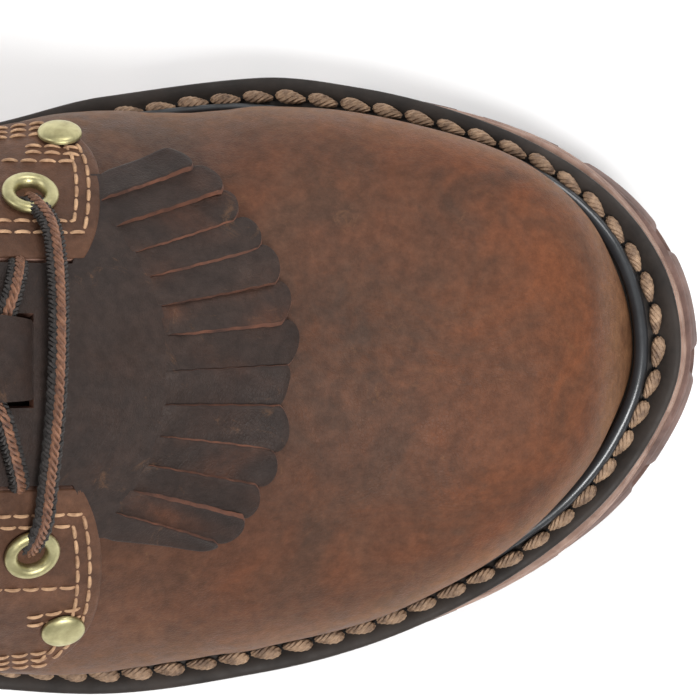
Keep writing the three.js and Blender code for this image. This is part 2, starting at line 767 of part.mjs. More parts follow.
function groove(x, y, long, wide, turn, ceiling) {
  const box = new THREE.BoxGeometry(long, wide, collarHeight);
  box.rotateZ(turn);
  box.translate(x, y, ceiling - collarHeight / 2);
  return toSolid(box);
}

function outsoleSolid() {
  const body = plate({ ...outsoleEdge, top: outsoleTop, bottom: outsoleBottom });
  const overlap = 1;
  const from = turnOf(treadFrom);
  const tread = { from, count: 22, inset: 0, top: (x) => outsoleBottom(x) + overlap, bottom: treadBottom };
  let lugs = plate(tread);
  const start = soleLength * treadFrom;
  const count = Math.floor((soleLength - start) / lugPitch);
  for (let i = 1; i <= count; i += 1) {
    const x = start + i * lugPitch - lugPitch / 2;
    const ceiling = outsoleBottom(x);
    for (const side of [1, -1]) {
      const y = axisY(x) + side * (channelAway + ballWidth / 4);
      lugs = lugs.subtract(groove(x, y, grooveWide, ballWidth / 2, side * grooveTilt, ceiling));
    }
    const ahead = x + lugPitch / 2;
    lugs = lugs.subtract(groove(ahead, axisY(x), grooveWide, 2 * channelAway, 0, outsoleBottom(ahead)));
  }
  const reach = start + count * lugPitch - lugPitch / 2;
  for (const side of [1, -1]) {
    const pieces = 4;
    for (let i = 0; i < pieces; i += 1) {
      const x = mix(start, reach, (i + 0.5) / pieces);
      const long = (reach - start) / pieces + 1;
      lugs = lugs.subtract(groove(x, axisY(x) + side * channelAway, long, channelWide, 0, outsoleBottom(x)));
    }
  }
  return body.add(lugs);
}

function heelSolid() {
  let heel = plate({
    to: turnOf(heelShare),
    count: 16,
    inset: 1.5,
    low: 3,
    top: (x) => outsoleBottom(x) - seatGap,
    bottom: () => 0,
  });
  const deep = 6;
  const long = soleLength * heelShare;
  for (const share of [0.3, 0.55, 0.8]) {
    for (const side of [1, -1]) {
      heel = heel.subtract(groove(long * share, side * ballWidth * 0.33, grooveWide, ballWidth / 3, 0, deep));
    }
  }
  return heel;
}

function midsoleSolid() {
  return plate({ ...midsoleEdge, top: midsoleTop, bottom: midsoleBottom });
}

function insoleSolid() {
  const bottom = (x) => midsoleTop(x) + seatGap;
  return plate({ base: 'upper', inset: insoleInner, top: (x) => bottom(x) + insoleThick, bottom });
}

// The whole boot
const boot = new THREE.Group();

function add(name, solid, { color, roughness, metalness = 0 }) {
  const material = new THREE.MeshStandardMaterial({ color, roughness, metalness });
  const mesh = new THREE.Mesh(toGeometry(solid), material);
  mesh.name = name;
  boot.add(mesh);
}

const stations = eyeletStations();
const sides = { medial: 1, lateral: -1 };

let upper = upperSolid();
const quarters = { medial: quarterSolid(1), lateral: quarterSolid(-1) };
const holeRadius = eyeletBarrel + 2 * gap;
const cutter = new THREE.CylinderGeometry(holeRadius, holeRadius, 16, 7);
for (const [name, side] of Object.entries(sides)) {
  stations.forEach((s, i) => {
    const q = qAt(s, side * eyeletLine);
    const hole = toSolid(seated(cutter, s, q, 0));
    upper = upper.subtract(hole);
    quarters[name] = quarters[name].subtract(hole);
    add(`eyelet_${name}_${i + 1}`, toSolid(seated(eyeletGeometry(), s, q, overHigh + eyeletSeat)), brass);
  });
  const rivet = seated(rivetGeometry(), rivetPlace.station, side * rivetPlace.q, overHigh + gap);
  add(`rivet_${name}`, toSolid(rivet), brass);
}
add('upper', upper, leather);
add('quarter_medial', quarters.medial, leather);
add('quarter_lateral', quarters.lateral, leather);
add('heel_counter', counterSolid(), leather);
add('back_stay', backStaySolid(), leather);
add('collar_band', collarBandSolid(), leather);
add('tongue', tongueSolid(), darkLeather);
add('fringe', fringeSolid(), darkLeather);
add('lace', laceSolid(stations), cord);
add('welt_bead', beadSolid(), rubber);
add('welt', weltSolid(), darkLeather);
add('midsole', midsoleSolid(), brownLayer);
add('insole', insoleSolid(), paleLeather);
add('outsole', outsoleSolid(), rubber);
add('heel', heelSolid(), rubber);

// The origin goes to the middle of the footprint, on the floor.
const box = new THREE.Box3().setFromObject(boot);
const middle = box.getCenter(new THREE.Vector3());
boot.position.set(-middle.x, -middle.y, -box.min.z);
boot.updateMatrixWorld(true);

export default boot;
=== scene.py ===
import math

import bmesh
import bpy
import numpy as np
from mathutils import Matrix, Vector


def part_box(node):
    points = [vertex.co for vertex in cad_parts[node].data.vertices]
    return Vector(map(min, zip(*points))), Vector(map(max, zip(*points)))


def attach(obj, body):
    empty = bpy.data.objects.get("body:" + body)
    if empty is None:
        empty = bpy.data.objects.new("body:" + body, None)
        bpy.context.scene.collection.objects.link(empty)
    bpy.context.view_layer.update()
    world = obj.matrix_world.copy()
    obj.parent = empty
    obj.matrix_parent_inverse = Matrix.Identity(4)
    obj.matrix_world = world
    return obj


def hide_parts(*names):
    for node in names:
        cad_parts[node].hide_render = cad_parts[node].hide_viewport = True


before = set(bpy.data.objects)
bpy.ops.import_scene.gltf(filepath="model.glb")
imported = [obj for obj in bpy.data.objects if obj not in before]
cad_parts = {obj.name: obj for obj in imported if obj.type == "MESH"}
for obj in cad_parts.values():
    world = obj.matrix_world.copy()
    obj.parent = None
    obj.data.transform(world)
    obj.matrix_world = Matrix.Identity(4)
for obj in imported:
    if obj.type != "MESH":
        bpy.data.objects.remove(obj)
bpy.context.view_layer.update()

rng = np.random.default_rng(7)

# Sizes of the boot in millimetres, as in the construction
SOLE_LENGTH = 312.0
BALL_WIDTH = 115.0
COLLAR_HEIGHT = 254.0
COLLAR_DROP = 11.0
HEEL_HEIGHT = 42.0
FOREFOOT_HEIGHT = 18.0
TOE_SPRING = 14.0
INSTEP_RISE = 84.5
ANKLE_DEPTH = 116.5
ANKLE_WIDTH = 80.0
SHAFT_WIDTH = 92.0
TOE_SHIFT = 4.8
WALL = 2.3
GAP = 0.3
OVERLAY = 2.0
SIDE_SWELL = 2.6
TOE_TUCK, HEEL_TUCK, SIDE_TUCK = 12.4, 5.0, 7.2
WELT_THICK, MIDSOLE_THICK, OUTSOLE_THICK, INSOLE_THICK = 2.7, 3.7, 5.0, 4.0
SEAT_GAP = 0.5
THROAT_HALF = 20.2
THROAT_FRONT = 196.0
EYESTAY_HALF = 19.4
OVER_HIGH = GAP + OVERLAY
SIDES = (("medial", 1), ("lateral", -1))

# along, medial, lateral: shares of the sole's length and of the ball width
SOLE_ROWS = [
    (0, 0, 0), (0.054, 0.261, 0.287), (0.141, 0.33, 0.361), (0.247, 0.322, 0.374), (0.391, 0.322, 0.435),
    (0.487, 0.352, 0.483), (0.584, 0.411, 0.515), (0.644, 0.45, 0.524), (0.739, 0.471, 0.5),
    (0.798, 0.447, 0.47), (0.87, 0.395, 0.407), (0.941, 0.3, 0.292), (0.989, 0.145, 0.121), (1, 0, 0),
]
# station, ahead, rise, belly, crest, under
RIB_ROWS = [
    (0, 1, 0, 0.34, 2.3, 2), (0.1, 0.962, 0.243, 0.32, 2.35, 2), (0.15, 0.912, 0.343, 0.3, 2.3, 2),
    (0.2, 0.845, 0.405, 0.27, 2.2, 2), (0.25, 0.761, 0.468, 0.25, 2.05, 2),
    (0.3, 0.654, 0.556, 0.24, 1.88, 2), (0.35, 0.536, 0.663, 0.24, 1.7, 2),
    (0.4, 0.424, 0.787, 0.26, 1.58, 2), (0.5, 0.244, 1, 0.31, 1.55, 2), (0.6, 0.138, 1.1, 0.37, 1.6, 2),
    (0.7, 0.065, 1.207, 0.43, 1.7, 2.05), (0.8, 0.028, 1.311, 0.48, 1.85, 2.2),
    (0.9, 0.008, 1.405, 0.51, 1.95, 2.6), (1, 0, 1.482, 0.53, 2.05, 2.9),
    (1.5, 0, 1.482, 0.51, 2.15, 2.3), (2, 0, 1.482, 0.5, 2.15, 2.15),
]
# station, up, front, hollow, lean
SHAFT_ROWS = [
    (1, 0, 0, 0, 0), (1.15, 0.09, 0.13, -0.033, 0.009), (1.3, 0.21, 0.27, -0.018, 0.017),
    (1.45, 0.33, 0.4, 0.03, 0.021), (1.6, 0.465, 0.53, 0.06, 0.023), (1.75, 0.62, 0.67, 0.062, 0.021),
    (1.9, 0.82, 0.85, 0.03, 0.013), (2, 1, 1, 0, 0),
]
# station, height of the seam under the quarters as a share of the instep rise
SEAM_ROWS = [
    (0.38, 0.56), (0.5, 0.6), (0.6, 0.7), (0.7, 0.83), (0.8, 0.94), (0.9, 1.01), (1, 1.04), (1.3, 1.06),
]


# Curves through tables
def curve(rows, column):
    at = np.array([row[0] for row in rows], float)
    value = np.array([row[column] for row in rows], float)
    rise = np.diff(value) / np.diff(at)
    slope = np.zeros(len(at))
    slope[0], slope[-1] = rise[0], rise[-1]
    same = rise[:-1] * rise[1:] > 0
    total = np.where(same, rise[:-1] + rise[1:], 1)
    slope[1:-1] = np.where(same, 2 * rise[:-1] * rise[1:] / total, 0)

    def read(x):
        x = np.asarray(x, float)
        i = np.clip(np.searchsorted(at, x) - 1, 0, len(at) - 2)
        step = at[i + 1] - at[i]
        t = np.clip((x - at[i]) / step, 0, 1)
        u = 1 - t
        inside = value[i] * (1 + 2 * t) * u * u + value[i + 1] * (3 - 2 * t) * t * t
        inside = inside + step * (slope[i] * t * u * u - slope[i + 1] * t * t * u)
        low = np.minimum(x - at[0], 0) * slope[0]
        high = np.maximum(x - at[-1], 0) * slope[-1]
        return inside + low + high

    return read


def mix(a, b, t):
    return a + (b - a) * t


def ease(x, low, high):
    t = np.clip((np.asarray(x, float) - low) / (high - low), 0, 1)
    return t * t * (3 - 2 * t)


def turn_of(along):
    return np.arccos(1 - 2 * np.clip(along, 0, 1)) / np.pi


def along_of(turn):
    return (1 - np.cos(np.pi * np.asarray(turn, float))) / 2


# A path in plan with heights as its third column
def raised(path, height):
    return np.concatenate([path, height[..., None]], -1)


# The length run along a path, at each of its points
def travelled(path):
    return np.concatenate([[0], np.cumsum(np.linalg.norm(np.diff(path, axis=0), axis=1))])


OUTLINE = [(turn_of(a), m, l) for a, m, l in SOLE_ROWS]
MEDIAL, LATERAL = curve(OUTLINE, 1), curve(OUTLINE, 2)
AHEAD, RISE, BELLY, CREST, UNDER = (curve(RIB_ROWS, i) for i in range(1, 6))
UP, FRONT, HOLLOW, LEAN = (curve(SHAFT_ROWS, i) for i in range(1, 5))
SEAM = curve(SEAM_ROWS, 1)
UPPER_TOE = SOLE_LENGTH - TOE_TUCK
ANKLE_X = HEEL_TUCK + ANKLE_DEPTH
TUCK_SHARE = 1 - 2 * SIDE_TUCK / BALL_WIDTH


def half_width(turn, side):
    return BALL_WIDTH * np.where(np.asarray(side) > 0, MEDIAL(turn), LATERAL(turn))


def axis_y(x):
    return TOE_SHIFT * ease(np.asarray(x) / SOLE_LENGTH, 0.6, 1)


def seat(x):
    along = np.asarray(x, float) / SOLE_LENGTH
    back = (HEEL_HEIGHT - FOREFOOT_HEIGHT) * (1 - ease(along, 0.24, 0.6))
    lift = np.maximum(0, (along - 0.72) / 0.28)
    return FOREFOOT_HEIGHT + back + TOE_SPRING * lift * lift


# The upper's form
def surface(station, q):
    station, q = np.broadcast_arrays(np.asarray(station, float), np.asarray(q, float))
    foot = np.clip(station, 0, 1)
    side = np.where(q < 0, -1, 1)
    front_x = ANKLE_X + (UPPER_TOE - ANKLE_X) * AHEAD(foot)
    low_x = mix(HEEL_TUCK, UPPER_TOE, along_of(1 - foot))
    low_z = seat(low_x)
    high_z = seat(front_x) + INSTEP_RISE * RISE(foot)
    shaft = station > 1
    low_x = np.where(shaft, HEEL_TUCK + ANKLE_DEPTH * HOLLOW(station), low_x)
    low_z = np.where(shaft, mix(low_z, COLLAR_HEIGHT - COLLAR_DROP, UP(station)), low_z)
    high_x = np.where(shaft, front_x - ANKLE_DEPTH * LEAN(station), front_x)
    high_z = np.where(shaft, mix(high_z, COLLAR_HEIGHT, FRONT(station)), high_z)
    base = np.where(station < 1, half_width(1 - foot, side) * TUCK_SHARE, 0)
    shaft_half = mix(ANKLE_WIDTH, SHAFT_WIDTH, ease(station, 1.15, 2)) / 2
    full = mix(base + SIDE_SWELL * ease(station, 0, 0.3), shaft_half, ease(station, 0.45, 0.82))
    length = np.hypot(high_x - low_x, high_z - low_z)
    wide = np.maximum(full, base * 1.001 + 1e-6)
    middle = np.maximum(BELLY(station) * length, 1e-6)
    end = np.arctan2(middle, base)
    angle = np.pi / 2 - np.abs(q) * (np.pi / 2 + end)
    under = UNDER(station)
    below = middle / (1 - (base / wide) ** under) ** (1 / under)
    reach = np.where(angle >= 0, np.maximum(length - middle, 1e-6), below)
    power = np.where(angle >= 0, CREST(station), under)
    c = np.abs(np.cos(angle))
    r = ((c / wide) ** power + (np.abs(np.sin(angle)) / reach) ** power) ** (-1 / power)
    t = (middle + r * np.sin(angle)) / np.maximum(length, 1e-9)
    y = mix(axis_y(low_x), axis_y(high_x), t) + side * r * c
    return np.stack([mix(low_x, high_x, t), y, mix(low_z, high_z, t)], -1)


def normal_at(station, q):
    s = np.maximum(np.asarray(station, float), 0.01)
    step = 1e-3
    inner = np.clip(q, -1 + step, 1 - step)
    a = surface(s + step, q) - surface(s - step, q)
    b = surface(s, inner + step) - surface(s, inner - step)
    n = np.cross(b, a)
    seam = (np.asarray(station) >= 1) & (np.abs(q) >= 1)
    n[..., 1] = np.where(seam, 0, n[..., 1])
    return n / np.maximum(np.linalg.norm(n, axis=-1, keepdims=True), 1e-12)


def on_form(station, q, offset=0.0):
    station, q, offset = np.broadcast_arrays(*(np.asarray(v, float) for v in (station, q, offset)))
    return surface(station, q) + normal_at(station, q) * offset[..., None]


# The q where a rib is y away from its middle, on the front or on the back half
def q_at(station, y, on_back=False):
    station, y = np.broadcast_arrays(np.asarray(station, float), np.asarray(y, float))
    side = np.where(y < 0, -1.0, 1.0)
    middle = surface(station, np.zeros(station.shape))[..., 1]
    low = np.full(station.shape, 1.0 if on_back else 0.0)
    high = np.full(station.shape, 0.5 if on_back else 0.62)
    for _ in range(30):
        q = (low + high) / 2
        near = np.abs(surface(station, side * q)[..., 1] - middle) < np.abs(y)
        low, high = np.where(near, q, low), np.where(near, high, q)
    return side * (low + high) / 2


def seam_q(station, side, drop=0.0):
    station = np.asarray(station, float)
    height = INSTEP_RISE * SEAM(station) - drop
    low, high = np.zeros(station.shape), np.ones(station.shape)
    for _ in range(30):
        q = (low + high) / 2
        above = surface(station, side * q)[..., 2] > height
        low, high = np.where(above, q, low), np.where(above, high, q)
    return low


# The station and q of the surface point over a place in plan
def locate(x, y):
    x, y = np.broadcast_arrays(np.asarray(x, float), np.asarray(y, float))
    s, q = np.full(x.shape, 0.4), np.full(x.shape, 0.1)
    step = 1e-4
    for _ in range(40):
        p = surface(s, q)
        ds = (surface(s + step, q) - p) / step
        dq = (surface(s, q + step) - p) / step
        det = ds[..., 0] * dq[..., 1] - ds[..., 1] * dq[..., 0]
        ex, ey = x - p[..., 0], y - p[..., 1]
        s = np.clip(s + np.clip((ex * dq[..., 1] - ey * dq[..., 0]) / det, -0.1, 0.1), 0.03, 0.95)
        q = np.clip(q + np.clip((ey * ds[..., 0] - ex * ds[..., 1]) / det, -0.2, 0.2), -0.97, 0.97)
    return s, q


# A point of an outline. The sole's edge, or the upper's lower edge
def edge(base, turn, side, inset):
    sole = base == "sole"
    heel_x = (0 if sole else HEEL_TUCK) + inset
    toe_x = (SOLE_LENGTH if sole else UPPER_TOE) - inset
    x = mix(heel_x, toe_x, along_of(turn))
    wide = half_width(turn, side) * (1 if sole else TUCK_SHARE)
    y = axis_y(x) + side * (wide - inset * np.minimum(1, wide / 18))
    return np.stack([x, y], -1)


def both_edges(base, turns, inset):
    return edge(base, turns, 1, inset), edge(base, turns, -1, inset)


# Where the part's own frame lies in the row's frame
TREAD_FROM = 0.53
tread = edge("sole", np.linspace(1, turn_of(TREAD_FROM), 22), 1, 0)
outsole_high = np.array(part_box("outsole")[1]) * 1000
SHIFT = np.array([outsole_high[0] - SOLE_LENGTH, outsole_high[1] - tread[:, 1].max(), 0])


# Points of two halves closer than this are joined, in millimetres
SEAM_WELD = 0.004
SHARP_ANGLE = math.radians(42)


# Meshes
def add_mesh(name, points, faces, materials, tags=None, masks=None, smooth=True, weld=0.0):
    mesh = bpy.data.meshes.new(name)
    co = (np.asarray(points, float).reshape(-1, 3) + SHIFT) * 0.001
    mesh.from_pydata(co.tolist(), [], [list(map(int, f)) for f in faces])
    if masks is not None:
        layer = mesh.color_attributes.new("tone", "FLOAT_COLOR", "POINT")
        rgba = np.ones((len(co), 4))
        rgba[:, :3] = np.clip(np.asarray(masks).reshape(-1, 3), 0, 1)
        layer.data.foreach_set("color", rgba.ravel())
    for material in materials:
        mesh.materials.append(material)
    if tags is not None:
        mesh.polygons.foreach_set("material_index", np.asarray(tags, np.int32))
    mesh.polygons.foreach_set("use_smooth", np.full(len(mesh.polygons), smooth))
    if weld:
        bm = bmesh.new()
        bm.from_mesh(mesh)
        bmesh.ops.remove_doubles(bm, verts=bm.verts, dist=weld * 0.001)
        bm.to_mesh(mesh)
        bm.free()
    mesh.validate()
    mesh.update()
    if smooth:
        mesh.set_sharp_from_angle(angle=SHARP_ANGLE)
    piece = bpy.data.objects.new(name, mesh)
    bpy.context.scene.collection.objects.link(piece)
    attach(piece, "root")
    return piece


# A closed skin between two grids. Tags: 0 outside, 1 inside, 2 edges
def slab(outer, inner, open_first=None, open_last=None):
    rows, columns = outer.shape[:2]
    index = np.arange(rows * columns).reshape(rows, columns)
    under = index + rows * columns
    faces, tags = [], []

    def quads(a, b, c, d, tag):
        block = np.stack([a, b, c, d], -1).reshape(-1, 4)
        faces.append(block)
        tags.append(np.full(len(block), tag))

    quads(index[:-1, :-1], index[1:, :-1], index[1:, 1:], index[:-1, 1:], 0)
    quads(under[:-1, :-1], under[:-1, 1:], under[1:, 1:], under[1:, :-1], 1)
    first = np.ones(rows - 1, bool) if open_first is None else ~open_first[:-1]
    last = np.ones(rows - 1, bool) if open_last is None else ~open_last[:-1]
    quads(index[:-1, 0][first], under[:-1, 0][first], under[1:, 0][first], index[1:, 0][first], 2)
    quads(index[:-1, -1][last], index[1:, -1][last], under[1:, -1][last], under[:-1, -1][last], 2)
    quads(index[0, :-1], index[0, 1:], under[0, 1:], under[0, :-1], 2)
    quads(index[-1, :-1], under[-1, :-1], under[-1, 1:], index[-1, 1:], 2)
    points = np.concatenate([outer.reshape(-1, 3), inner.reshape(-1, 3)])
    return points, np.concatenate(faces), np.concatenate(tags)


# Parts as one: points, faces, tags and tones
def merged(parts):
    faces, start = [], 0
    for part in parts:
        faces += (part[1] + start).tolist()
        start += len(part[0])
    points = np.concatenate([part[0] for part in parts])
    tags = np.concatenate([part[2] for part in parts])
    masks = np.concatenate([part[3].reshape(-1, 3) for part in parts])
    return points, faces, tags, masks


# How much an edge is rounded, and over which share of its panel
EDGE_ROUND, EDGE_NEAR = 0.45, 0.006


# Shares from 0 to 1 with close rows near both ends
def shares(count, near=EDGE_NEAR):
    inside = np.linspace(0, 1, count)
    return np.unique(np.concatenate([[0, near * 0.35, near, 1 - near, 1 - near * 0.35, 1], inside]))


def bevel(v):
    away = np.minimum(v, 1 - v) / EDGE_NEAR
    return EDGE_ROUND * np.clip(1 - away, 0, 1) ** 2


# Creases: x and y of the middle, angle, half length, half width and depth, in millimetres
CREASES = [
    (216, 30, 1.75, 17, 3.2, -0.55), (224, 38, 1.7, 12, 2.6, -0.4), (209, 44, 1.5, 9, 2.2, -0.35),
    (214, -36, 1.3, 15, 3.0, -0.5), (223, -42, 1.35, 10, 2.4, -0.4), (206, -46, 1.6, 9, 2.4, -0.4),
    (238, 20, 1.2, 13, 3.4, -0.28), (243, -18, 1.9, 14, 3.6, -0.3), (256, 4, 1.5, 16, 4.0, -0.22),
    (231, 42, 1.9, 9, 3.0, 0.35), (230, -45, 1.2, 9, 3.0, 0.35), (262, 30, 0.9, 10, 3.0, -0.2),
    # The hollow at the waist, and the fuller sides ahead of it
    (219, 48, 0.0, 15, 11, -2.4), (280, 40, -0.7, 17, 11, 1.3), (256, -46, 0.0, 17, 11, 1.3),
    (275, -36, 0.6, 13, 10, 0.9),
]
# Folds across the shaft: station, q of the middle, half length in q, half width in station, depth
FOLDS = [
    (0.9, 0.33, 0.2, 0.05, -1.0), (1.02, 0.36, 0.2, 0.05, -0.8), (0.9, -0.33, 0.2, 0.05, -1.0),
    (1.04, -0.36, 0.22, 0.05, -0.8), (1.3, 0.55, 0.3, 0.045, -0.9), (1.34, -0.6, 0.3, 0.045, -0.9),
    (1.45, 0.75, 0.2, 0.04, -0.7), (1.5, -0.5, 0.3, 0.05, -0.6), (1.62, 0.5, 0.3, 0.05, 0.5),
    (0.97, 0.34, 0.2, 0.05, 0.7), (0.97, -0.34, 0.2, 0.05, 0.7), (1.38, 0.6, 0.25, 0.04, 0.5),
]


def relief(points, station, q):
    x, y = points[..., 0], points[..., 1]
    depth = np.zeros(x.shape)
    on_foot = station < 0.75
    for cx, cy, angle, half, wide, deep in CREASES:
        along = (x - cx) * math.cos(angle) + (y - cy) * math.sin(angle)
        across = -(x - cx) * math.sin(angle) + (y - cy) * math.cos(angle)
        across = across + 0.012 * along * along
        depth += np.where(on_foot, deep * np.exp(-((along / half) ** 2) - (across / wide) ** 2), 0)
    for cs, cq, half, wide, deep in FOLDS:
        depth += deep * np.exp(-(((q - cq) / half) ** 2) - ((station - cs) / wide) ** 2)
    waves = 0.22 * np.sin(x * 0.11 + 1.3 * np.sin(y * 0.09)) * np.sin(y * 0.13 + 0.7)
    at_seam = ease(station, 0.95, 1.0) * ease(np.abs(q), 0.92, 1.0)
    return (depth + waves * ease(station, 0.1, 0.3)) * (1 - at_seam)


# How tan, red and grey the leather is drawn: tan at the lower edge is a painted highlight on the steep sides,
# red at the toe with less at the tip as painted shade, grey over the ball
def tones(points, station, q):
    x, y = points[..., 0], points[..., 1]

    def spot(middle_x, middle_y, long, wide):
        return np.exp(-(((x - middle_x) / long) ** 2) - ((y - middle_y) / wide) ** 2)

    steep = 1 - np.abs(normal_at(station, q)[..., 2])
    # Lighter tan where the surface is steep: a painted highlight on the lower sides
    tan = ease(steep, 0.3, 0.85) * (1 - ease(station, 0.55, 0.8)) * (0.6 + 0.4 * ease(x, 180, 260))
    # Less red towards the toe's tip darkens it there: painted shade
    red = ease(x, 215, 275) * (1 - 0.55 * ease(x, 284, 300)) * 0.85
    red = red + 0.35 * spot(232, 34, 16, 16) + 0.4 * spot(228, -36, 18, 16)
    return np.stack([tan, red, spot(246, 3, 26, 30) * 0.8], -1)


def panel(u, v, place, low, high, bevels=(1, 1, 1, 1), opens=(None, None), relieved=True):
    grid_u, grid_v = np.meshgrid(u, v, indexing="ij")
    station, q = place(grid_u, grid_v)
    first_u, last_u, first_v, last_v = bevels
    cut = 0
    for grid, first, last in ((grid_v, first_v, last_v), (grid_u, first_u, last_u)):
        cut = cut + bevel(np.minimum(grid, 0.5)) * first
        cut = cut + bevel(np.maximum(grid, 0.5)) * last
    base = surface(station, q)
    lift = relief(base, station, q) if relieved else 0
    outer = on_form(station, q, high + lift - cut)
    inner = on_form(station, q, low + lift)
    points, faces, tags = slab(outer, inner, *opens)
    tone = tones(base, station, q)
    return points, faces, tags, np.concatenate([tone.reshape(-1, 3)] * 2)


def both_sides(build):
    return merged([build(1), build(-1)])


# Tubes and small repeated shapes
def tangents(path):
    tangent = np.gradient(path, axis=0)
    tangent /= np.maximum(np.linalg.norm(tangent, axis=1, keepdims=True), 1e-9)
    return tangent


def tube(path, radius, sides=8, up=(0, 0, 1), flat=1.0):
    count = len(path)
    tangent = tangents(path)
    up = np.broadcast_to(np.asarray(up, float), path.shape)
    across = np.cross(tangent, up)
    across /= np.maximum(np.linalg.norm(across, axis=1, keepdims=True), 1e-9)
    normal = np.cross(across, tangent)
    radius = np.broadcast_to(np.asarray(radius, float), (count,))
    angle = np.linspace(0, 2 * np.pi, sides, endpoint=False)[None, :, None]
    ring = across[:, None] * np.cos(angle) + normal[:, None] * np.sin(angle) * flat
    points = path[:, None] + ring * radius[:, None, None]
    index = np.arange(count * sides).reshape(count, sides)
    a, b = index[:-1], index[1:]
    faces = np.stack([a, b, np.roll(b, -1, 1), np.roll(a, -1, 1)], -1).reshape(-1, 4).tolist()
    faces += [index[0].tolist(), index[-1][::-1].tolist()]
    return points.reshape(-1, 3), faces


def join_tubes(parts):
    points, faces, start = [], [], 0
    for p, f in parts:
        points.append(p)
        faces += [[i + start for i in face] for face in f]
        start += len(p)
    return np.concatenate(points), faces


def lathe(profile, segments):
    profile = np.asarray(profile, float)
    angle = np.linspace(0, 2 * np.pi, segments, endpoint=False)
    points = np.stack([
        profile[:, 0][None] * np.cos(angle)[:, None],
        profile[:, 0][None] * np.sin(angle)[:, None],
        np.broadcast_to(profile[:, 1], (segments, len(profile))),
    ], -1)
    index = np.arange(segments * len(profile)).reshape(segments, -1)
    a, b = index, np.roll(index, -1, 0)
    faces = np.stack([a[:, :-1], b[:, :-1], b[:, 1:], a[:, 1:]], -1).reshape(-1, 4)
    return points.reshape(-1, 3), faces


# A shape turned so that its axis follows the normal, and moved to its foot
def seated(points, foot, normal):
    normal = normal / np.linalg.norm(normal)
    side = np.cross(normal, [0.0, 0.0, 1.0])
    side /= np.linalg.norm(side)
    other = np.cross(normal, side)
    return points[:, :1] * side + points[:, 1:2] * other + points[:, 2:3] * normal + foot


# Points at even distances along a path
def resample(path, pitch):
    path = np.asarray(path, float)
    at = travelled(path[:, :3])
    count = max(2, int(round(at[-1] / pitch)) + 1)
    even = np.linspace(0, at[-1], count)
    return np.stack([np.interp(even, at, path[:, k]) for k in range(path.shape[1])], -1)


# A material while it is built. Its methods add nodes and give their outputs
class Look:
    def __init__(self, name):
        self.made = bpy.data.materials.new(name)
        self.made.use_nodes = True
        self.nodes, self.links = self.made.node_tree.nodes, self.made.node_tree.links
        self.shader = self.nodes["Principled BSDF"]
        self.place = self.nodes.new("ShaderNodeTexCoord").outputs["Object"]

    def put(self, socket, value):
        if isinstance(value, (int, float)):
            socket.default_value = value
        elif isinstance(value, tuple):
            socket.default_value = (*value, 1)
        else:
            self.links.new(value, socket)

    def shade(self, **values):
        for name, value in values.items():
            self.put(self.shader.inputs[name.replace("_", " ")], value)

    def noise(self, scale, detail=4.0, rough=0.6, distort=0.0):
        node = self.nodes.new("ShaderNodeTexNoise")
        for socket, value in zip(("Vector", "Scale", "Detail", "Roughness", "Distortion"),
                                 (self.place, scale, detail, rough, distort)):
            self.put(node.inputs[socket], value)
        return node.outputs["Fac"]

    def cracks(self, scale):
        node = self.nodes.new("ShaderNodeTexVoronoi")
        node.feature = "DISTANCE_TO_EDGE"
        self.put(node.inputs["Scale"], scale)
        self.put(node.inputs["Vector"], self.place)
        return node.outputs["Distance"]

    # Stops are pairs of a place and a colour, or a grey
    def ramp(self, source, *stops):
        node = self.nodes.new("ShaderNodeValToRGB")
        for element, (at, colour) in zip(node.color_ramp.elements, stops):
            element.position = at
            element.color = (*colour, 1) if isinstance(colour, tuple) else (colour, colour, colour, 1)
        self.put(node.inputs["Fac"], source)
        return node.outputs["Color"]

    def blend(self, factor, a, b, how="MIX"):
        node = self.nodes.new("ShaderNodeMix")
        node.data_type = "RGBA"
        node.blend_type = how
        for socket, value in ((node.inputs["Factor"], factor), (node.inputs[6], a), (node.inputs[7], b)):
            self.put(socket, value)
        return node.outputs[2]

    def times(self, a, b):
        node = self.nodes.new("ShaderNodeMath")
        node.operation = "MULTIPLY"
        self.put(node.inputs[0], a)
        self.put(node.inputs[1], b)
        return node.outputs[0]

    def bump(self, height, strength, distance):
        node = self.nodes.new("ShaderNodeBump")
        self.put(node.inputs["Strength"], strength)
        self.put(node.inputs["Distance"], distance)
        self.put(node.inputs["Height"], height)
        earlier = self.shader.inputs["Normal"].links
        if earlier:
            self.put(node.inputs["Normal"], earlier[0].from_socket)
        self.put(self.shader.inputs["Normal"], node.outputs["Normal"])


DARK = (0.045, 0.023, 0.015)
BROWN = (0.104, 0.045, 0.024)
RED = (0.14, 0.045, 0.018)
# TAN: the colour of the scuffs, and of the painted highlight on the steep lower sides
TAN = (0.2, 0.098, 0.045)
GREY = (0.044, 0.031, 0.025)


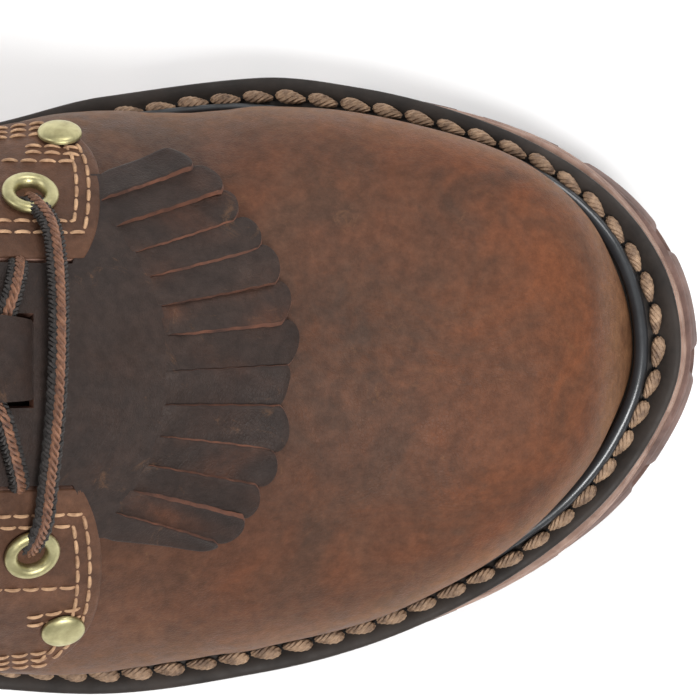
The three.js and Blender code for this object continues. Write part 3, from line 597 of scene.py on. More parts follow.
def leather(name, dark=DARK, brown=BROWN, red=RED, dull=GREY, rough=(0.42, 0.66)):
    look = Look(name)
    wide = look.noise(34, 5, 0.62, 0.6)
    close = look.noise(170, 4, 0.7, 0.3)
    colour = look.ramp(wide, (0.28, dark), (0.74, brown))
    # The patches follow the tones that the mesh carries at its points
    tone = look.nodes.new("ShaderNodeAttribute")
    tone.attribute_name = "tone"
    parts = look.nodes.new("ShaderNodeSeparateColor")
    look.put(parts.inputs["Color"], tone.outputs["Color"])
    patch = look.ramp(look.noise(52, 5, 0.65, 0.8), (0.36, 0.0), (0.64, 1.0))
    fine = look.ramp(close, (0.3, 0.25), (0.7, 1.0))
    colour = look.blend(look.times(parts.outputs["Green"], patch), colour, red)
    colour = look.blend(look.times(parts.outputs["Blue"], fine), colour, dull)
    # The red channel mixes in tan: a painted highlight on the steep lower sides
    colour = look.blend(look.times(look.times(parts.outputs["Red"], fine), 0.85), colour, TAN)
    streak = look.ramp(look.noise(420, 3, 0.75), (0.35, 0.8), (0.7, 1.22))
    colour = look.blend(1.0, colour, streak, "MULTIPLY")
    scuff = look.ramp(look.noise(95, 8, 0.8, 1.4), (0.6, 0.0), (0.72, 1.0))
    colour = look.blend(look.times(scuff, 0.35), colour, TAN)
    gloss = look.ramp(close, (0.3, rough[0]), (0.72, rough[1]))
    look.shade(Base_Color=colour, Roughness=gloss, Specular_IOR_Level=0.13)
    look.bump(look.ramp(look.cracks(1500), (0.0, 0.0), (0.16, 1.0)), 0.22, 0.00025)
    look.bump(look.noise(700, 5, 0.7), 0.3, 0.0004)
    look.bump(wide, 0.25, 0.0015)
    return look.made


def plain(name, dark, light, scale, rough, metal=0.0, bump_scale=900, bump_by=0.25, coat=0.0, shine=0.5):
    look = Look(name)
    colour = look.ramp(look.noise(scale, 5, 0.65, 0.4), (0.32, dark), (0.7, light))
    gloss = look.ramp(look.noise(scale * 3), (0.3, rough[0]), (0.7, rough[1]))
    look.shade(Base_Color=colour, Roughness=gloss, Metallic=metal, Coat_Weight=coat, Specular_IOR_Level=shine)
    look.bump(look.noise(bump_scale, 4, 0.7), bump_by, 0.0003)
    return look.made


M_LEATHER = leather("upper_leather")
M_PANEL = leather("quarter_leather", dark=(0.05, 0.025, 0.016), brown=(0.12, 0.056, 0.032))
M_FRINGE = leather(
    "fringe_leather", dark=(0.019, 0.013, 0.011), brown=(0.042, 0.026, 0.02), red=(0.12, 0.042, 0.019),
    dull=(0.025, 0.018, 0.016), rough=(0.42, 0.62),
)
M_LINING = plain("lining", (0.17, 0.1, 0.06), (0.26, 0.165, 0.1), 60, (0.7, 0.85), bump_scale=1200)
M_RAW = plain(
    "raw_edge", (0.16, 0.075, 0.05), (0.42, 0.25, 0.19), 260, (0.7, 0.9), bump_scale=1800, bump_by=0.5
)
M_RAW_RED = plain("raw_edge_red", (0.04, 0.017, 0.011), (0.15, 0.056, 0.03), 240, (0.7, 0.9), bump_scale=1800)
M_THREAD = plain(
    "tan_thread", (0.2, 0.1, 0.05), (0.52, 0.32, 0.18), 500, (0.6, 0.8), bump_scale=3500, bump_by=0.5
)
M_CORD = plain(
    "welt_thread", (0.09, 0.05, 0.03), (0.4, 0.26, 0.16), 420, (0.5, 0.75), bump_scale=3200, bump_by=0.5
)
# Near black: painted shade for the welt's stitch holes
M_HOLE_SHADE = plain("hole", (0.004, 0.003, 0.003), (0.008, 0.006, 0.005), 300, (0.9, 1.0))
M_WELT = plain(
    "welt_edge", (0.012, 0.009, 0.0075), (0.032, 0.024, 0.0195), 90, (0.5, 0.68), bump_scale=700, shine=0.25
)
M_BEAD = plain(
    "bead", (0.012, 0.013, 0.015), (0.022, 0.024, 0.027), 120, (0.27, 0.36), coat=0.25, bump_by=0.05
)
M_MID = plain("midsole_layer", (0.16, 0.085, 0.06), (0.36, 0.235, 0.18), 150, (0.6, 0.85), bump_by=0.5)
M_RUBBER = plain(
    "outsole_rubber", (0.075, 0.042, 0.034), (0.19, 0.112, 0.092), 110, (0.62, 0.85), bump_scale=1100
)
M_BRASS = plain("brass", (0.3, 0.27, 0.135), (0.52, 0.48, 0.27), 240, (0.36, 0.52), metal=1.0, bump_by=0.12)
M_LACE_DARK = plain(
    "lace_dark", (0.012, 0.01, 0.009), (0.04, 0.033, 0.03), 700, (0.6, 0.8), bump_scale=4200, bump_by=0.6
)
M_LACE_COPPER = plain(
    "lace_copper", (0.07, 0.028, 0.016), (0.25, 0.115, 0.062), 700, (0.5, 0.72), bump_scale=4200, bump_by=0.6
)

# Camera: straight down, as in the photo, over a point behind the toe tip
VIEW_BEHIND_TIP = 64.7
VIEW_MEDIAL = 4.4
VIEW_HEIGHT = 1100.0  # over the welt
VIEW_FIELD = 129.9
SENSOR = 36.0
camera_data = bpy.data.cameras.new("camera")
camera_data.sensor_width = SENSOR
camera_data.lens = SENSOR * VIEW_HEIGHT / VIEW_FIELD
camera_data.clip_start = 0.01
camera = bpy.data.objects.new("camera", camera_data)
aim = (np.array([SOLE_LENGTH - VIEW_BEHIND_TIP, VIEW_MEDIAL, VIEW_HEIGHT + 25]) + SHIFT) * 0.001
camera.location = aim
bpy.context.scene.collection.objects.link(camera)
bpy.context.scene.camera = camera


# The upper: one shell, open at the throat, the collar and underneath
def throat_q(station):
    tops = surface(station, np.zeros(station.shape))
    centre = THROAT_FRONT - THROAT_HALF
    short = np.clip(tops[..., 0] - centre, 0, THROAT_HALF)
    half = np.sqrt(np.maximum(THROAT_HALF**2 - short**2, 0))
    half = np.where(tops[..., 0] >= THROAT_FRONT, 0, half)
    return np.where(half > 0.01, np.abs(q_at(station, np.maximum(half, 0.01))), 0)


# From station to station, with how many rows: closest at the toe and where the throat starts
UPPER_SPANS = [(0, 0.06, 9), (0.06, 0.38, 70), (0.38, 0.46, 34), (0.46, 1.0, 70), (1.0, 2.0, 100)]


def build_upper():
    spans = [*(np.linspace(a, b, count)[:-1] for a, b, count in UPPER_SPANS), [2.0]]
    stations = np.concatenate(spans)
    v = np.linspace(0, 1, 72)

    def side(sign):
        def place(s, w):
            start = throat_q(s[:, :1])
            return s, sign * mix(start, 1.0, w)

        is_open = throat_q(stations[:, None])[:, 0] > 0
        columns = v[::-1] if sign > 0 else v
        centre_open = ~is_open
        seam_open = stations >= 1
        opens = (seam_open, centre_open) if sign > 0 else (centre_open, seam_open)
        return panel(stations, columns, place, -WALL, 0, (0, 0, 0, 0), opens)

    points, faces, tags, masks = both_sides(side)
    materials = [M_LEATHER, M_LINING, M_RAW]
    piece = add_mesh("upper_skin", points, faces, materials, tags, masks, weld=SEAM_WELD)
    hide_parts("upper")


# Panels over the upper
QUARTER_FRONT = 0.386
BAND_FRONT, BAND_BACK = 1.8, 1.93
SHAFT_START = 1.4
BACK_STAY_HALF = 9.0
STAY_START = 1.34
COUNTER_FRONT, COUNTER_TOP, COUNTER_SLANT = 0.64, 1.272, 0.12
# How far the overlays lie over the upper, and over how many stations the quarters' front is rounded
SKIN_UNDER = 0.05
FRONT_ROUND_LONG = 0.0016


def band_edge(q):
    return mix(BAND_FRONT, BAND_BACK, np.abs(q))


def front_shift(s, v):
    fade = 1 - ease(s, QUARTER_FRONT, QUARTER_FRONT + 0.2)
    return fade * (0.03 * v**5 + 0.007 * (1 - v) ** 8)


def quarter_place(side, inset=0.0):
    def across(station, v):
        front = q_at(station, side * (EYESTAY_HALF + inset))
        back = np.abs(q_at(np.maximum(station, 1.0), BACK_STAY_HALF + 0.4, True))
        low = seam_q(station, side, -inset)
        low = np.where(station < 1, low, np.minimum(low, back))
        return mix(front, side * low, v)

    def place(u, v):
        s = u
        station = s + front_shift(s, v)
        share = (s - SHAFT_START) / (BAND_FRONT - SHAFT_START)
        turned = mix(SHAFT_START, band_edge(across(np.minimum(s, 1.79), v)) - 0.004, share)
        station = np.where(s > SHAFT_START, turned, station)
        return station, across(station, v)

    return place


def build_quarters():
    near = [QUARTER_FRONT, QUARTER_FRONT + 0.0006, QUARTER_FRONT + FRONT_ROUND_LONG]
    stations = np.concatenate([near, np.linspace(0.392, 1.0, 90)[:-1], np.linspace(1.0, BAND_FRONT, 76)])
    v = shares(60)
    rounded = EDGE_ROUND * np.clip(1 - (stations - QUARTER_FRONT) / FRONT_ROUND_LONG, 0, 1) ** 2
    materials = [M_PANEL, M_PANEL, M_RAW]
    for name, side in SIDES:
        columns = v[::-1] if side > 0 else v
        place = quarter_place(side)
        points, faces, tags, masks = panel(stations, columns, place, SKIN_UNDER, OVER_HIGH, (0, 0, 1, 1))
        # The outer half of the points is moved in place, to round the front edge
        outer = points[:len(points) // 2].reshape(len(stations), len(v), 3)
        down = normal_at(*place(*np.meshgrid(stations, columns, indexing="ij")))
        outer -= down * rounded[:, None, None]
        shown = masks * 0.35
        piece = add_mesh(f"quarter_{name}_skin", points, faces, materials, tags, shown)
        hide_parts(f"quarter_{name}")


def counter_slant(s):
    return COUNTER_SLANT * (1 - ease(s, COUNTER_FRONT, 0.76))


def counter_place(sign):
    def place(u, w):
        s = mix(COUNTER_FRONT, COUNTER_TOP, u)
        start = np.minimum(0.985, seam_q(s, sign, 1.0) + counter_slant(s))
        return s, sign * mix(start, 1, w)
    return place


def stay_place(sign):
    def place(u, w):
        s = mix(STAY_START, BAND_BACK - 0.008, u)
        return s, sign * mix(np.abs(q_at(s, BACK_STAY_HALF, True)), 1, w)
    return place


def band_place(sign):
    def place(u, w):
        q = mix(np.abs(q_at(2.0 + 0 * w, EYESTAY_HALF)), 1, w)
        s = mix(band_edge(q), 2.0, u)
        return s, sign * mix(np.abs(q_at(s, EYESTAY_HALF)), 1, w)
    return place


# A panel that goes round the heel: two halves, joined at the back
def build_wrap(name, u, place_on):
    v = shares(40)
    seam = place_on(1)(u[:, None], np.ones((len(u), 1)))[0][:, 0] >= 1

    def side(sign):
        columns = v[::-1] if sign > 0 else v
        opens = (seam, None) if sign > 0 else (None, seam)
        return panel(u, columns, place_on(sign), SKIN_UNDER, OVER_HIGH, (0, 0, 1, 0), opens)

    points, faces, tags, masks = both_sides(side)
    materials, shown = [M_PANEL, M_PANEL, M_RAW], masks * 0.6
    piece = add_mesh(f"{name}_skin", points, faces, materials, tags, shown, weld=SEAM_WELD)
    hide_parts(name)


build_upper()
build_quarters()
build_wrap("heel_counter", np.linspace(0, 1, 90), counter_place)
build_wrap("back_stay", shares(60), stay_place)
build_wrap("collar_band", shares(16, 0.03), band_place)


# The tongue, from under the quarters to just above the collar
TONGUE_HALF = 33.0
TONGUE_THICK = 2.6
TONGUE_FRONT, TONGUE_BEND, TONGUE_TOP = 0.36, 1.9, 2.06


def build_tongue():
    u, v = shares(110), shares(34)

    def place(share, w):
        s = mix(TONGUE_FRONT, TONGUE_TOP, share)
        top = np.clip((s - TONGUE_BEND) / (TONGUE_TOP - TONGUE_BEND), 0, 1)
        half = TONGUE_HALF * np.sqrt(1 - 0.55 * top) * mix(0.8, 1, ease(s, TONGUE_FRONT, 0.6))
        return s, q_at(s, (1 - 2 * w) * half + 1e-6)

    high = -WALL - GAP
    points, faces, tags, masks = panel(u, v, place, high - TONGUE_THICK, high, relieved=False)
    materials = [M_FRINGE, M_LINING, M_RAW]
    piece = add_mesh("tongue_leaf", points, faces, materials, tags, masks)
    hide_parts("tongue")


# False tongue: a neck with two lace slots, and a fan of strips, each lapping over the one beside it
FRINGE_THICK = 1.8
STRIPS = 13
NECK_BACK, NECK_FRONT, FAN_BACK = 150.0, 196.6, 200.6
NECK_HALF = EYESTAY_HALF - 0.8
SLOTS = {"medial": 9.2, "lateral": -4.5}
SLOT_FRONT, SLOT_BACK = 191.0, 168.0
SLOT_WIDE = 1.6
STRAP_RISE = 3.8
# x and y where each slit starts, and x and y where it reaches the edge
SLITS = [
    (202.0, 29.6, 218.7, 35.6), (204.8, 25.1, 223.7, 31.5), (208.2, 20.7, 226.5, 26.7),
    (210.7, 16.5, 230.3, 21.8), (212.7, 11.5, 233.4, 15.7), (213.8, 6.6, 234.7, 9.1),
    (213.7, 0.6, 235.4, 1.7), (213.3, -5.0, 234.0, -5.2), (212.4, -10.3, 232.7, -12.8),
    (210.4, -15.2, 230.2, -18.9), (207.8, -19.6, 227.2, -24.5), (204.5, -23.4, 222.5, -28.6),
]
BORDERS = [(202.0, 34.4, 213.5, 38.6), *SLITS, (202.3, -27.9, 219.9, -30.0)]


# A closed skin between two grids, with the cells that keep names and walls round every hole
def holed_slab(outer, inner, keep):
    rows, columns = outer.shape[:2]
    index = np.arange(rows * columns).reshape(rows, columns)
    under = index + rows * columns
    faces, tags = [], []
    for i in range(rows - 1):
        for j in range(columns - 1):
            if not keep[i, j]:
                continue
            a, b, c, d = index[i, j], index[i + 1, j], index[i + 1, j + 1], index[i, j + 1]
            e, f, g, h = under[i, j], under[i + 1, j], under[i + 1, j + 1], under[i, j + 1]
            faces += [(a, b, c, d), (e, h, g, f)]
            tags += [0, 1]
            around = (
                (i > 0 and keep[i - 1, j], (a, d, h, e)), (i < rows - 2 and keep[i + 1, j], (c, b, f, g)),
                (j > 0 and keep[i, j - 1], (b, a, e, f)), (j < columns - 2 and keep[i, j + 1], (d, c, g, h)),
            )
            for joined, wall in around:
                if not joined:
                    faces.append(wall)
                    tags.append(2)
    points = np.concatenate([outer.reshape(-1, 3), inner.reshape(-1, 3)])
    used = np.unique(np.array(faces))
    renumber = np.full(len(points), -1)
    renumber[used] = np.arange(len(used))
    return points[used], renumber[np.array(faces)], np.array(tags)


def fringe_tone(points, red, dull):
    x, y = points[..., 0], points[..., 1]
    patch = 0.5 + 0.5 * np.sin(x * 0.31 + 2 * np.sin(y * 0.23)) * np.sin(y * 0.37 + 1.1)
    return np.stack([0 * x, red * patch**2, dull + 0 * x], -1)


# How far the raw edge shows beside the strips whose edge is turned up most
RAW_LEAN = {2: 0.25, 3: 0.5, 5: 0.6, 6: 0.3, 9: 0.4, 11: 0.4}


def strip(i):
    a, b = BORDERS[i], BORDERS[i + 1]
    u, v = np.linspace(0, 1, 34), shares(16, 0.06)
    grid_u, w = np.meshgrid(u, v, indexing="ij")
    upper_side = i < 7
    open_side = w if upper_side else 1 - w
    middle = i == 7
    far = grid_u * (1 + 0.3 * (1 - open_side) * np.sqrt(open_side) - 0.02 * open_side**14)
    if middle:
        far = grid_u * (1 + 0.05 * (1 - np.abs(2 * w - 1) ** 3))
    start_x, start_y = mix(a[0], b[0], w), mix(a[1], b[1], w)
    end_x, end_y = mix(a[2], b[2], w), mix(a[3], b[3], w)
    away = 1.0 if upper_side else -1.0
    under = 0.6 * (1 - open_side) ** 4 * ease(grid_u, 0, 0.15) * away
    ragged = 0.09 * np.sin(grid_u * 11 + i * 2.1) * np.sin(grid_u * 37 + i) * open_side**8
    x = mix(start_x, end_x, far) + 0.3 * math.sin(i * 2.4) * ease(grid_u, 0.4, 1)
    y = mix(start_y, end_y, far) + under - ragged * away
    rise = -0.35 + (1.05 + 0.25 * math.sin(i * 1.9)) * open_side**1.4
    curl = (0.35 + 0.3 * math.sin(i * 1.7 + 1)) * ease(grid_u, 0.6, 1.0)
    rounded = 0.22 * np.clip(1 - np.minimum(v, 1 - v)[None] / 0.06, 0, 1) ** 2 + 0.2 * (grid_u > 0.999)
    s, q = locate(x, y)
    high = GAP + FRINGE_THICK + ease(grid_u, -0.02, 0.12) * rise + curl - rounded
    outer = on_form(s, q, high)
    # The raw edge leans out from under the grain, so that it shows from above
    lean = RAW_LEAN.get(i, 0.14) * open_side**10 * ease(grid_u, -0.05, 0.35) * away
    tip = 0.35 * ease(grid_u, 0.95, 1.0)
    s, q = locate(x + tip, y - lean)
    inner = on_form(s, q, high - mix(FRINGE_THICK, 1.1, ease(grid_u, 0, 0.3)))
    points, faces, tags = slab(outer, inner)
    tone = fringe_tone(outer, 0.25 + 0.5 * (i in (2, 5, 9, 11)), 0.75)
    return points, faces, tags, np.concatenate([tone.reshape(-1, 3)] * 2)


def build_fringe():
    cuts = [NECK_HALF]
    for y_slot in sorted(SLOTS.values(), reverse=True):
        cuts += [y_slot + SLOT_WIDE / 2, y_slot - SLOT_WIDE / 2]
    cuts.append(-NECK_HALF)
    neck_y = []
    for k in range(len(cuts) - 1):
        neck_y += np.linspace(cuts[k], cuts[k + 1], 2 if k % 2 else 14)[:-1].tolist()
    neck_y = np.array([*neck_y, cuts[-1]])
    share = (neck_y[0] - neck_y) / (neck_y[0] - neck_y[-1])
    t = np.linspace(0, 1, len(BORDERS))
    front_x = np.interp(share, t, [line[0] + 0.5 for line in BORDERS])
    front_y = np.interp(share, t, [line[1] for line in BORDERS])
    fan = np.linspace(0, 1, 14)[:, None]
    fan_x, fan_y = mix(front_x, FAN_BACK, fan), front_y + 0 * fan
    shoulder = np.linspace(0, 1, 5)[1:, None]
    bend_x, bend_y = FAN_BACK - 3 * shoulder + 0 * front_x, mix(front_y, neck_y, ease(shoulder, 0, 1))
    neck_x = np.concatenate([
        np.linspace(NECK_FRONT, SLOT_FRONT, 7)[:-1], np.linspace(SLOT_FRONT, SLOT_BACK, 24)[:-1],
        np.linspace(SLOT_BACK, NECK_BACK, 12),
    ])[:, None]
    x = np.concatenate([fan_x, bend_x, neck_x + 0 * front_x])
    y = np.concatenate([fan_y, bend_y, neck_y + 0 * neck_x])
    s, q = locate(x, y)
    inside = (x < SLOT_FRONT) & (x > SLOT_BACK)
    strap = inside & (y < SLOTS["medial"]) & (y > SLOTS["lateral"])
    arch = np.sin(np.pi * np.clip((x - SLOT_BACK) / (SLOT_FRONT - SLOT_BACK), 0, 1)) ** 0.45
    bridge = np.where(strap, STRAP_RISE * arch, 0)
    high = GAP + FRINGE_THICK + bridge
    cell_x, cell_y = (x[:-1, :-1] + x[1:, 1:]) / 2, (y[:-1, :-1] + y[1:, 1:]) / 2
    in_slot = np.zeros(cell_x.shape, bool)
    for y_slot in SLOTS.values():
        in_slot |= (np.abs(cell_y - y_slot) < SLOT_WIDE / 2) & (cell_x < SLOT_FRONT) & (cell_x > SLOT_BACK)
    outer = on_form(s, q, high)
    points, faces, tags = holed_slab(outer, on_form(s, q, high - FRINGE_THICK), ~in_slot)
    tone = fringe_tone(points, 0.15, 0.9)
    parts = [(points, faces, tags, tone)] + [strip(i) for i in range(STRIPS)]
    points, faces, tags, masks = merged(parts)
    materials = [M_FRINGE, M_FRINGE, M_RAW_RED]
    piece = add_mesh("fringe_leaf", points, faces, materials, tags, masks)
    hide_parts("fringe")


# Eyelets and rivets
EYELET_PITCH, EYELET_LINE, EYELET_FRONT, EYELET_PAIRS = 25.5, 30.0, 13.2, 8
EYELET_HOLE, EYELET_DEEP, EYELET_SEAT = 2.6, 5.2, 0.7
# The rolled ring: the radius and height of its middle, and its own half width and half height
ROLL_AT, ROLL_WIDE, ROLL_HIGH = (3.9, 0.15), 1.25, 0.95
RIVET_RADIUS, RIVET_HIGH = 4.0, 1.5
RIVET_PLACE = {1: (0.4065, 0.586), -1: (0.4055, 0.57)}


def eyelet_stations():
    s = np.arange(QUARTER_FRONT, 1.8, 0.002)
    line = on_form(s, q_at(s, np.full(s.shape, EYELET_LINE)), OVER_HIGH)
    walked = travelled(line)
    return [float(np.interp(EYELET_FRONT + EYELET_PITCH * i, walked, s)) for i in range(EYELET_PAIRS)]


EYELETS = eyelet_stations()


def facing(s, q, offset):
    foot = on_form(np.array([s]), np.array([q]), offset)[0]
    normal = normal_at(np.array([s]), np.array([q]))[0]
    return foot, normal


def build_eyelets():
    turns = np.linspace(-0.5 * np.pi, 0.62 * np.pi, 12)
    roll = [(ROLL_AT[0] + ROLL_WIDE * math.cos(a), ROLL_AT[1] + ROLL_HIGH * math.sin(a)) for a in turns]
    inner = [(0.55, 0.85), (0.15, 0.35), (0, -0.6), (0, -EYELET_DEEP), (0.35, -EYELET_DEEP), (0.35, -0.8)]
    barrel = [(EYELET_HOLE + out, height) for out, height in inner]
    shape, faces = lathe([*roll, *barrel, roll[0]], 40)
    for name, side in SIDES:
        for i, s in enumerate(EYELETS):
            q = float(q_at(np.array([s]), np.array([side * EYELET_LINE]))[0])
            foot, normal = facing(s, q, OVER_HIGH + EYELET_SEAT)
            points = seated(shape, foot, normal)
            ring = f"eyelet_{name}_{i + 1}_ring"
            piece = add_mesh(ring, points, faces, [M_BRASS], weld=0.01)
            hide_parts(f"eyelet_{name}_{i + 1}")


def build_rivets():
    turns = np.linspace(0, 0.5 * np.pi, 9)
    dome = [(RIVET_RADIUS * math.cos(a) ** 0.7, 0.35 + 1.15 * math.sin(a)) for a in turns[:-1]]
    shape, faces = lathe([(0.02, 0), (RIVET_RADIUS, 0), *dome, (0.02, RIVET_HIGH), (0.02, 0)], 40)
    for name, side in SIDES:
        s, q = RIVET_PLACE[side][0], side * RIVET_PLACE[side][1]
        foot, normal = facing(s, q, OVER_HIGH + GAP)
        points = seated(shape, foot, normal)
        piece = add_mesh(f"rivet_{name}_dome", points, faces, [M_BRASS], weld=0.03)
        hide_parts(f"rivet_{name}")


# The lace: a braid of dark and copper strands, down through one eyelet and up through the next
LACE_RADIUS = 1.8
LACE_STEP = 0.62
DARK_PITCH, COPPER_PITCH = 2.6, 4.2


def lace_point(s, y, offset):
    s, y = np.array([s]), np.array([y])
    q = q_at(s, y)
    return np.concatenate([on_form(s, q, offset)[0], normal_at(s, q)[0]])


def smooth_path(points):
    points = np.asarray(points, float)
    padded = np.concatenate([[2 * points[0] - points[1]], points, [2 * points[-1] - points[-2]]])
    pieces = []
    for i in range(1, len(padded) - 2):
        a, b, c, d = padded[i - 1:i + 3]
        t = np.linspace(0, 1, 24, endpoint=False)[:, None]
        square, cube = 2 * a - 5 * b + 4 * c - d, 3 * b - a - 3 * c + d
        pieces.append(0.5 * (2 * b + (c - a) * t + square * t**2 + cube * t**3))
    return resample(np.concatenate([*pieces, [points[-1]]]), LACE_STEP)


def braid(path, up):
    radius = LACE_RADIUS
    tangent = tangents(path)
    up = up - tangent * (up * tangent).sum(1, keepdims=True)
    up /= np.linalg.norm(up, axis=1, keepdims=True)
    across = np.cross(tangent, up)
    along = travelled(path)

    def wound(middle, turn, wide, high):
        return middle + (across * np.cos(turn)[:, None] * wide + up * np.sin(turn)[:, None] * high) * radius

    # A core, dark strands along both sides, and copper ones over and under it
    groups = {"dark": [tube(path, radius * 0.62, 8, up=up)], "copper": []}
    for side in (1, -1):
        for k in range(3):
            turn = 2 * np.pi * (along / DARK_PITCH * side + k / 3)
            middle = path + across * side * radius * 0.62
            groups["dark"].append(tube(wound(middle, turn, 0.3, 0.5), radius * 0.2, 5, up=up))
        for k in range(3):
            turn = 2 * np.pi * (along / COPPER_PITCH + k / 3)
            middle = path + up * side * radius * 0.5
            groups["copper"].append(tube(wound(middle, turn, 0.34, 0.2), radius * 0.22, 5, up=up))
    return groups


# Offsets over the form: t along the bar, how far ahead it bows in stations
BAR_BOW = [
    (0.1, 0.0075), (0.2, 0.0103), (0.35, 0.0107), (0.5, 0.0095), (0.65, 0.0078), (0.8, 0.0055), (0.9, 0.0035),
]
# Where a crossing goes under the facings, at both ends: y and height over the form
DIVE = [(22, -2.5), (19.6, 0.4), (16.5, 3.1)]


def lace_paths():
    through, hole = -(WALL + 1.5), EYELET_LINE
    over_facing = OVER_HIGH + LACE_RADIUS + 0.5
    first = EYELETS[0]
    bar = [lace_point(first, hole, through), lace_point(first, hole, 1.4)]
    for t, bow in BAR_BOW:
        lift = over_facing + 0.9 * math.sin(math.pi * t)
        bar.append(lace_point(first - bow, mix(hole, -hole, t) + 1e-4, lift))
    bar += [lace_point(first, -hole, 1.4), lace_point(first, -hole, through)]
    paths = [smooth_path(bar)]

    def crossing(s0, s1, side, heights, bend=1.0):
        points = []
        for y, height in heights:
            t = (hole - y) / (2 * hole)
            points.append(lace_point(mix(s0, s1, t**bend), side * y + 1e-4, height))
        return smooth_path(points)

    # The first crossing comes out from under the facings and goes below the strap of the false tongue
    neck = GAP + FRINGE_THICK + LACE_RADIUS
    mid, strap = (SLOTS["medial"] + SLOTS["lateral"]) / 2, (SLOTS["medial"] - SLOTS["lateral"]) / 2
    dip = [(strap + 3.4, neck + 0.1), (strap + 0.6, neck - 0.7), (strap - 1.4, LACE_RADIUS + 0.2)]
    for side in (1, -1):
        at = side * mid
        heights = [*DIVE, *((at + y, h) for y, h in dip), (at, LACE_RADIUS + 0.1)]
        heights += [*((at - y, h) for y, h in dip[::-1]), *((-y, h) for y, h in DIVE[::-1])]
        paths.append(crossing(EYELETS[0], EYELETS[1], side, heights, 1.6))
    # The rest come up through an eyelet, cross over the tongue and go under the facing opposite
    for i in range(1, len(EYELETS) - 1):
        for side, lift in ((1, 0.0), (-1, 2 * LACE_RADIUS + 0.4)):
            over = [(27.4, -0.5), (24, 0), (19, -0.1)]
            over += [(10, lift * 0.6 - 0.3), (0, lift - 0.4), (-10, lift * 0.5 - 0.6)]
            heights = [(30, through), (30, 1.4), *((y, over_facing + more) for y, more in over)]
            heights += [(-15.5, 3.2), (-19.4, 0.5), (-22, -2.5)]
            paths.append(crossing(EYELETS[i], EYELETS[i + 1], side, heights))
    # Each end stops at the top pair
    last = EYELETS[-1]
    for side in (1, -1):
        heights = [(22, -2.5), (30, through), (30, 0.4), (30.2, 2.6), (31.5, 3.4)]
        paths.append(smooth_path([lace_point(last, side * y, height) for y, height in heights]))
    return paths


def build_lace():
    dark, copper = [], []
    for path in lace_paths():
        groups = braid(path[:, :3], path[:, 3:])
        dark += groups["dark"]
        copper += groups["copper"]
    points, faces = join_tubes(dark)
    base = add_mesh("lace_dark_strands", points, faces, [M_LACE_DARK])
    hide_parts("lace")
    points, faces = join_tubes(copper)
    add_mesh("lace_copper_strands", points, faces, [M_LACE_COPPER])


# Sole
def ring_path(base, count, inset):
    medial, lateral = both_edges(base, np.linspace(0, 1, count), inset)
    return np.concatenate([medial, lateral[-2:0:-1]])


# The points of rings that lie one after another, and the number of each point
def rings(rows):
    grid = np.stack(rows)
    index = np.arange(grid.shape[0] * grid.shape[1]).reshape(grid.shape[:2])
    return grid.reshape(-1, 3), index


def between(a, b):
    return np.stack([b, np.roll(b, -1, 1), np.roll(a, -1, 1), a], -1).reshape(-1, 4).tolist()


# A flat end over a ring whose two halves face each other
def cap(ring):
    count = len(ring)
    last = (count - 1) // 2
    faces = [[ring[0], ring[1], ring[-1]]]
    for i in range(1, last):
        faces.append([ring[i], ring[i + 1], ring[count - i - 1], ring[count - i]])
    if count % 2 == 0:
        faces.append([ring[last], ring[last + 1], ring[last + 2]])
    return faces


# A solid from rings between two flat ends
def stacked(rows):
    points, index = rings(rows)
    ends = cap(index[0]) + [face[::-1] for face in cap(index[-1])]
    return points, between(index[:-1], index[1:]) + ends


def side_normals(path):
    tangent = np.roll(path, -1, 0) - np.roll(path, 1, 0)
    tangent /= np.linalg.norm(tangent, axis=1, keepdims=True)
    return np.stack([tangent[:, 1], -tangent[:, 0]], -1)


RING = 720
WELT_INSET, WELT_TOE = 0.2, 3.3
MIDSOLE_INSET, MIDSOLE_TOE = 1.2, 1.8
OUTSOLE_INSET, OUTSOLE_TOE = 0.5, -0.6
# The welt's upper face from its edge in: how far in, and how far under the seat
WELT_TOP = [
    (0.0, 1.0), (0.12, 0.45), (0.5, 0.12), (1.2, 0.0), (2.6, 0.0), (3.4, 0.55), (5.4, 0.6), (6.2, 0.1),
]


# Heights of the layers under the upper
def welt_bottom(x):
    return seat(x) - WELT_THICK


def midsole_top(x):
    return welt_bottom(x) - GAP


def midsole_bottom(x):
    return midsole_top(x) - MIDSOLE_THICK


def outsole_top(x):
    return midsole_bottom(x) - GAP


def outsole_bottom(x):
    return outsole_top(x) - OUTSOLE_THICK


# A line round the sole, inset by this much and by more at the toe's tip
def rim(inset, toe_more, count=RING // 2 + 1, first=0.9):
    path = ring_path("sole", count, inset)
    more = toe_more * ease(path[:, 0] / SOLE_LENGTH, first, 0.995)
    return path + side_normals(path) * more[:, None]


def build_welt():
    out = rim(WELT_INSET, WELT_TOE, first=0.77)
    into = ring_path("upper", RING // 2 + 1, WALL + 0.5)
    normal = side_normals(out)
    rows = []
    for inset, drop in WELT_TOP:
        path = out + normal * inset
        rows.append(raised(path, seat(path[:, 0]) - drop))
    rows.append(raised(into, seat(into[:, 0])))
    rows.append(raised(into, welt_bottom(into[:, 0])))
    rows.append(raised(out + normal * 0.5, welt_bottom(out[:, 0])))
    rows.append(raised(out + normal * 0.1, seat(out[:, 0]) - WELT_THICK * 0.8))
    points, index = rings(rows)
    faces = between(index, np.roll(index, -1, 0))
    piece = add_mesh("welt_band", points, faces, [M_WELT])
    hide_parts("welt")


STITCH_INSET, STITCH_SIDE, STITCH_TOE = 5.3, 3.8, 2.5
STITCH_PITCH = 6.1
# Each stitch is cut into this many steps; the last one holds its hole
WELT_PARTS = 12


def normal_in(path):
    tangent = tangents(path)
    return np.stack([tangent[:, 1], -tangent[:, 0]], -1)


